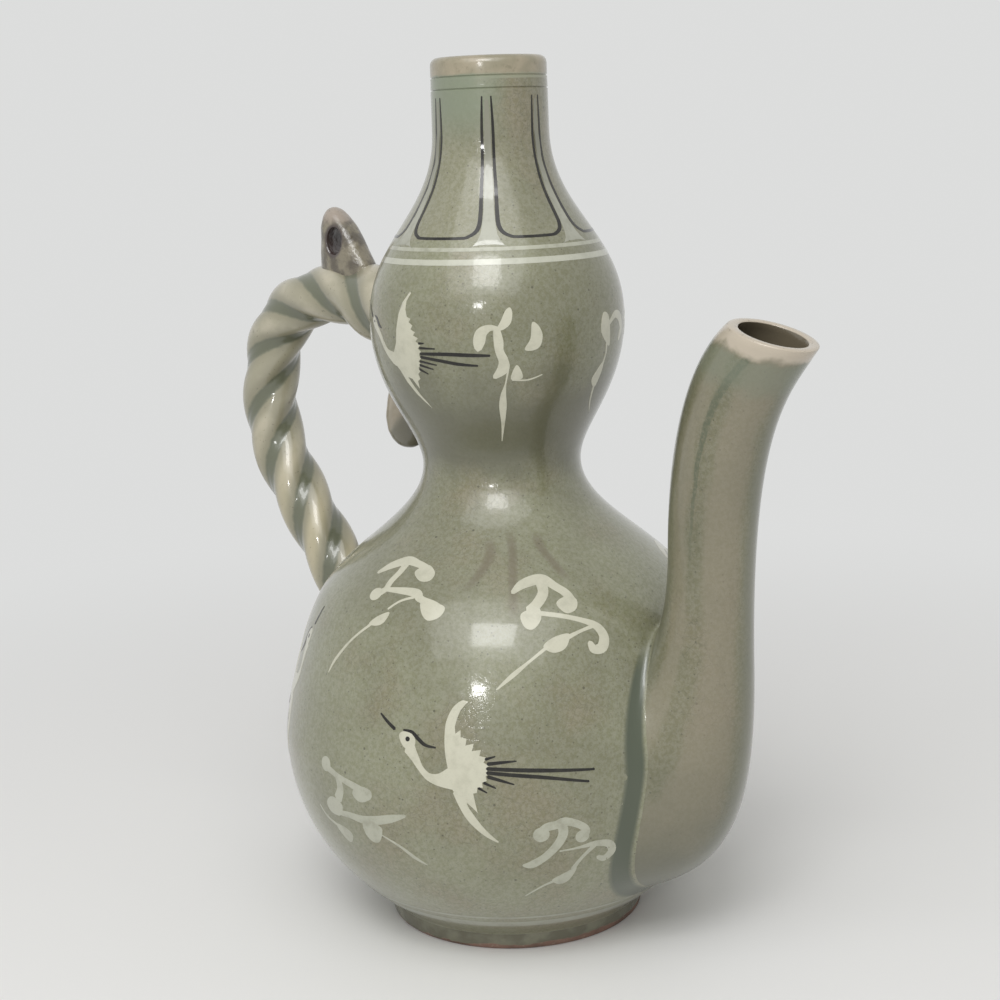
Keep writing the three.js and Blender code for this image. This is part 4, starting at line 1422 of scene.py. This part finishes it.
cloud_upper = [
    lobe_of((-1.0, 8.2), (0.4, 11.0), (1.8, 13.8), (3.2, 14.6), (3.8, 12.8), (3.1, 9.8), (0.8, 8.0)),
    stroke((-0.6, 8.4, 1.2), (-3.2, 8.7, 2.0), (-5.6, 7.2, 3.4), (-6.4, 4.6, 3.6), (-6.8, 2.4, 2.2)),
    stroke((-1.0, 7.8, 2.2), (-0.6, 4.6, 2.9), (-0.4, 1.6, 2.6), (0.7, -1.4, 3.0), (0.5, -4.0, 3.6),
           (-2.2, -6.6, 1.4)),
    lobe_of((9.6, 9.7), (11.4, 9.0), (12.8, 6.0), (12.1, 2.6), (9.8, 1.3), (7.2, 1.8), (9.0, 5.0)),
    lobe_of((4.6, -3.0), (6.3, -5.2), (6.4, -7.5), (2.9, -7.4)),
    stroke((2.4, -2.6, 0.4), (1.8, -6.0, 0.6), (1.2, -9.0, 0.5), (0.4, -13.0, 1.9), (0.2, -17.0, 2.6),
           (0.1, -23.5, 1.3), (-0.5, -30.0, 0.3)),
    stroke((3.4, -7.8, 0.4), (8.4, -8.0, 0.5), (13.0, -6.6, 0.3)),
]
cloud_end = [
    lobe_of((-2.2, 7.7), (0.8, 6.9), (1.9, 1.4), (1.7, -2.9), (-3.3, 2.0)),
    lobe_of((-0.3, -7.6), (-0.1, -11.1), (-1.9, -16.0), (-4.9, -13.3), (-2.7, -9.6)),
    stroke((0.2, -2.0, 1.0), (0.4, -5.0, 0.7), (-0.4, -8.4, 1.0)),
    stroke((1.0, 4.0, 1.0), (5.6, 6.6, 2.2), (9.6, 5.2, 3.2), (11.2, 1.6, 2.8), (9.4, -1.6, 1.4)),
    stroke((-2.6, -14.6, 1.0), (-1.6, -20.4, 0.8), (1.6, -25.4, 0.3)),
]


def crane(name, figure, *where):
    """A crane of white slip, with black legs, beak, crest and eye."""
    for part, shapes in zip(("white", "black", "eye"), figure):
        inlaid(f"{name}_{part}", shapes, white_slip if part == "white" else black_slip, *where)


large_crane = (crane_white, crane_black, crane_eye)
small_crane = (small_crane_white, small_crane_black, small_crane_eye)
# Each figure: its name, its shapes, its angle and height, and for some a size, a turn and a flip.
crane("crane_lower_front", large_crane, -60.7, 71.2)
crane("crane_lower_left", large_crane, -134.0, 82.0, 1.0, 35, True)
crane("crane_lower_back", large_crane, 64.0, 71.0)
crane("crane_lower_rear", large_crane, 132.0, 84.0, 1.0, 30, True)
crane("crane_upper_front", small_crane, -93.1, 189.8)
crane("crane_upper_back", small_crane, 84.0, 190.0)
for name, shapes, *where in (
    ("cloud_lower_front_1", cloud_left, -85.3, 120.5),
    ("cloud_lower_front_2", cloud_right, -36.1, 117.3),
    ("cloud_lower_front_3", cloud_low_left, -93.1, 58.9),
    ("cloud_lower_front_4", cloud_low_right, -36.7, 47.9),
    ("cloud_lower_left_1", cloud_left, -156.0, 119.0, 0.8, 4, True),
    ("cloud_lower_left_2", cloud_low_right, -143.0, 44.0, 1.0, 0, True),
    ("cloud_lower_back_1", cloud_left, 94.0, 120.0),
    ("cloud_lower_back_2", cloud_right, 41.0, 116.0),
    ("cloud_lower_back_3", cloud_low_left, 93.0, 57.0),
    ("cloud_lower_back_4", cloud_low_right, 37.0, 48.0),
    ("cloud_lower_rear_1", cloud_right, 144.0, 119.0, 0.95, 0, True),
    ("cloud_lower_rear_2", cloud_low_left, 152.0, 48.0, 0.9, 0, True),
    ("cloud_upper_front", cloud_upper, -48.9, 190.7),
    ("cloud_upper_right", cloud_end, 6.2, 193.3),
    ("cloud_upper_back", cloud_upper, 44.0, 190.5),
    ("cloud_upper_left", cloud_upper, -140.0, 189.0, 0.9, 0, True),
    ("cloud_upper_rear", cloud_upper, 138.0, 189.5, 0.9),
):
    worn = shapes in (cloud_low_left, cloud_low_right)
    inlaid(name, shapes, thin_slip if worn else white_slip, *where)


# Iron streaks
# Three soft strokes of iron wash were brushed down from the waist and sank into the glaze, so they
# have no edge. They lie on the wall as thin films whose sides take the colour of the glaze.
streak_across = 6
streak_strength = 0.62
streak_fade = 5
film_faces = (0.03, -0.3)
iron_brown = (0.125, 0.1, 0.062)
iron_glaze = body_celadon("body celadon with iron", iron_brown)


def iron_streak(name, points, width):
    """A soft brown film on the wall through (angle, height) points."""
    line = flowing(points)
    last = len(line) - 1
    made = bmesh.new()
    soak = made.verts.layers.float.new("pool")
    films = []
    for lift in film_faces:
        rows = []
        for i, p in enumerate(line):
            end_fade = min(1, streak_fade * i / len(line), streak_fade * (last - i) / len(line))
            row = []
            for k in range(streak_across + 1):
                side = 2 * k / streak_across - 1
                turn = math.radians(p.x) + side * width / 2 / wall_radius(p.y)
                spot = on_wall(Vector((math.cos(turn), math.sin(turn), p.y)), lift)
                vert = made.verts.new(in_metres(spot))
                vert[soak] = streak_strength * end_fade * (1 - side * side)
                row.append(vert)
            rows.append(row)
        for low, high in zip(rows, rows[1:]):
            for k in range(streak_across):
                made.faces.new((low[k], low[k + 1], high[k + 1], high[k]))
        films.append(rows[0] + [row[-1] for row in rows[1:-1]] + rows[-1][::-1]
                     + [row[0] for row in rows[-2:0:-1]])
    outer, inner = films
    for i in range(len(outer)):
        j = (i + 1) % len(outer)
        made.faces.new((outer[i], outer[j], inner[j], inner[i]))
    finish(set_in_scene(name, made), iron_glaze)


iron_streak("iron_streak_1", [(-57.5, 134), (-56.5, 130), (-59, 126), (-64.5, 120.5)], 4.2)
iron_streak("iron_streak_2", [(-47, 136), (-46.9, 130), (-47.6, 124), (-48.4, 113)], 3.6)
iron_streak("iron_streak_3", [(-34.5, 135), (-34, 131), (-31, 127), (-28, 122)], 4.0)


# Panels of the neck
# White strips divide the neck into panels, drawn by eye. Each flares at its foot into the thin line,
# and a fine black line runs round three sides of every panel.
strip_turns = [-110.5, -53.0, -0.8, 61.8, 124.4, 187.0]
# Half the width of a strip at each height, and of the gap between the two lines that flank it.
strip_halves = [
    (266.5, 0.6), (258.0, 0.9), (248.0, 1.0), (240.0, 1.3), (233.0, 1.6), (229.0, 2.1),
    (226.5, 2.6), (224.6, 3.6), (223.4, 4.8), (222.7, 6.5),
]
line_halves = [
    (267.5, 1.4), (258.0, 1.7), (248.0, 1.8), (240.0, 2.2), (233.0, 2.5), (229.5, 2.9),
    (227.4, 4.0), (226.1, 6.2), (225.6, 9.0),
]
neck_middle = 245.0
neck_spread = 20.0
panel_line_width = 0.95
panel_line_end = 0.5
strip_white = (0.36, 0.365, 0.295)
strip_grey = (0.2, 0.2, 0.15)
strip_cloud = (0.22, 0.22, 0.16)


def strip_slip():
    """White slip whose glaze turns it grey toward the mouth."""
    glaze = Glaze("strip slip", strip_white)
    glaze.coat(strip_grey, glaze.ramp(glaze.height, 226, 256))
    glaze.patches(strip_cloud, 0.44, 0.72, 0.6, 4, 5, 0.65)
    return glaze.fired()


def neck_spot(bearing, across, height):
    """A place on the flat, an arc across from a bearing of the neck."""
    around = math.radians(bearing) * neck_spread + across * neck_spread / wall_radius(height)
    return around, length_at(height) - length_at(neck_middle)


grey_slip = strip_slip()
for i, turn in enumerate(strip_turns):
    right = [neck_spot(0, half, height) for height, half in strip_halves]
    left = [neck_spot(0, -half, height) for height, half in strip_halves]
    strip = inlaid(
        f"neck_strip_{i + 1}_slip", [left + right[::-1]], grey_slip, turn, neck_middle, spread=neck_spread
    )
    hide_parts(f"neck_strip_{i + 1}")
    after = (strip_turns + [strip_turns[0] + 360])[i + 1]
    gap = (after - turn) / 2
    line = [neck_spot(-gap, half, height) for height, half in line_halves]
    line += [neck_spot(gap, -half, height) for height, half in line_halves[::-1]]
    widths = [panel_line_end] + [panel_line_width] * (len(line) - 2) + [panel_line_end]
    panel_line = stroke(*[(*spot, width) for spot, width in zip(line, widths)])
    inlaid(
        f"panel_line_{i + 1}", [panel_line], black_slip, (turn + after) / 2, neck_middle,
        spread=neck_spread,
    )
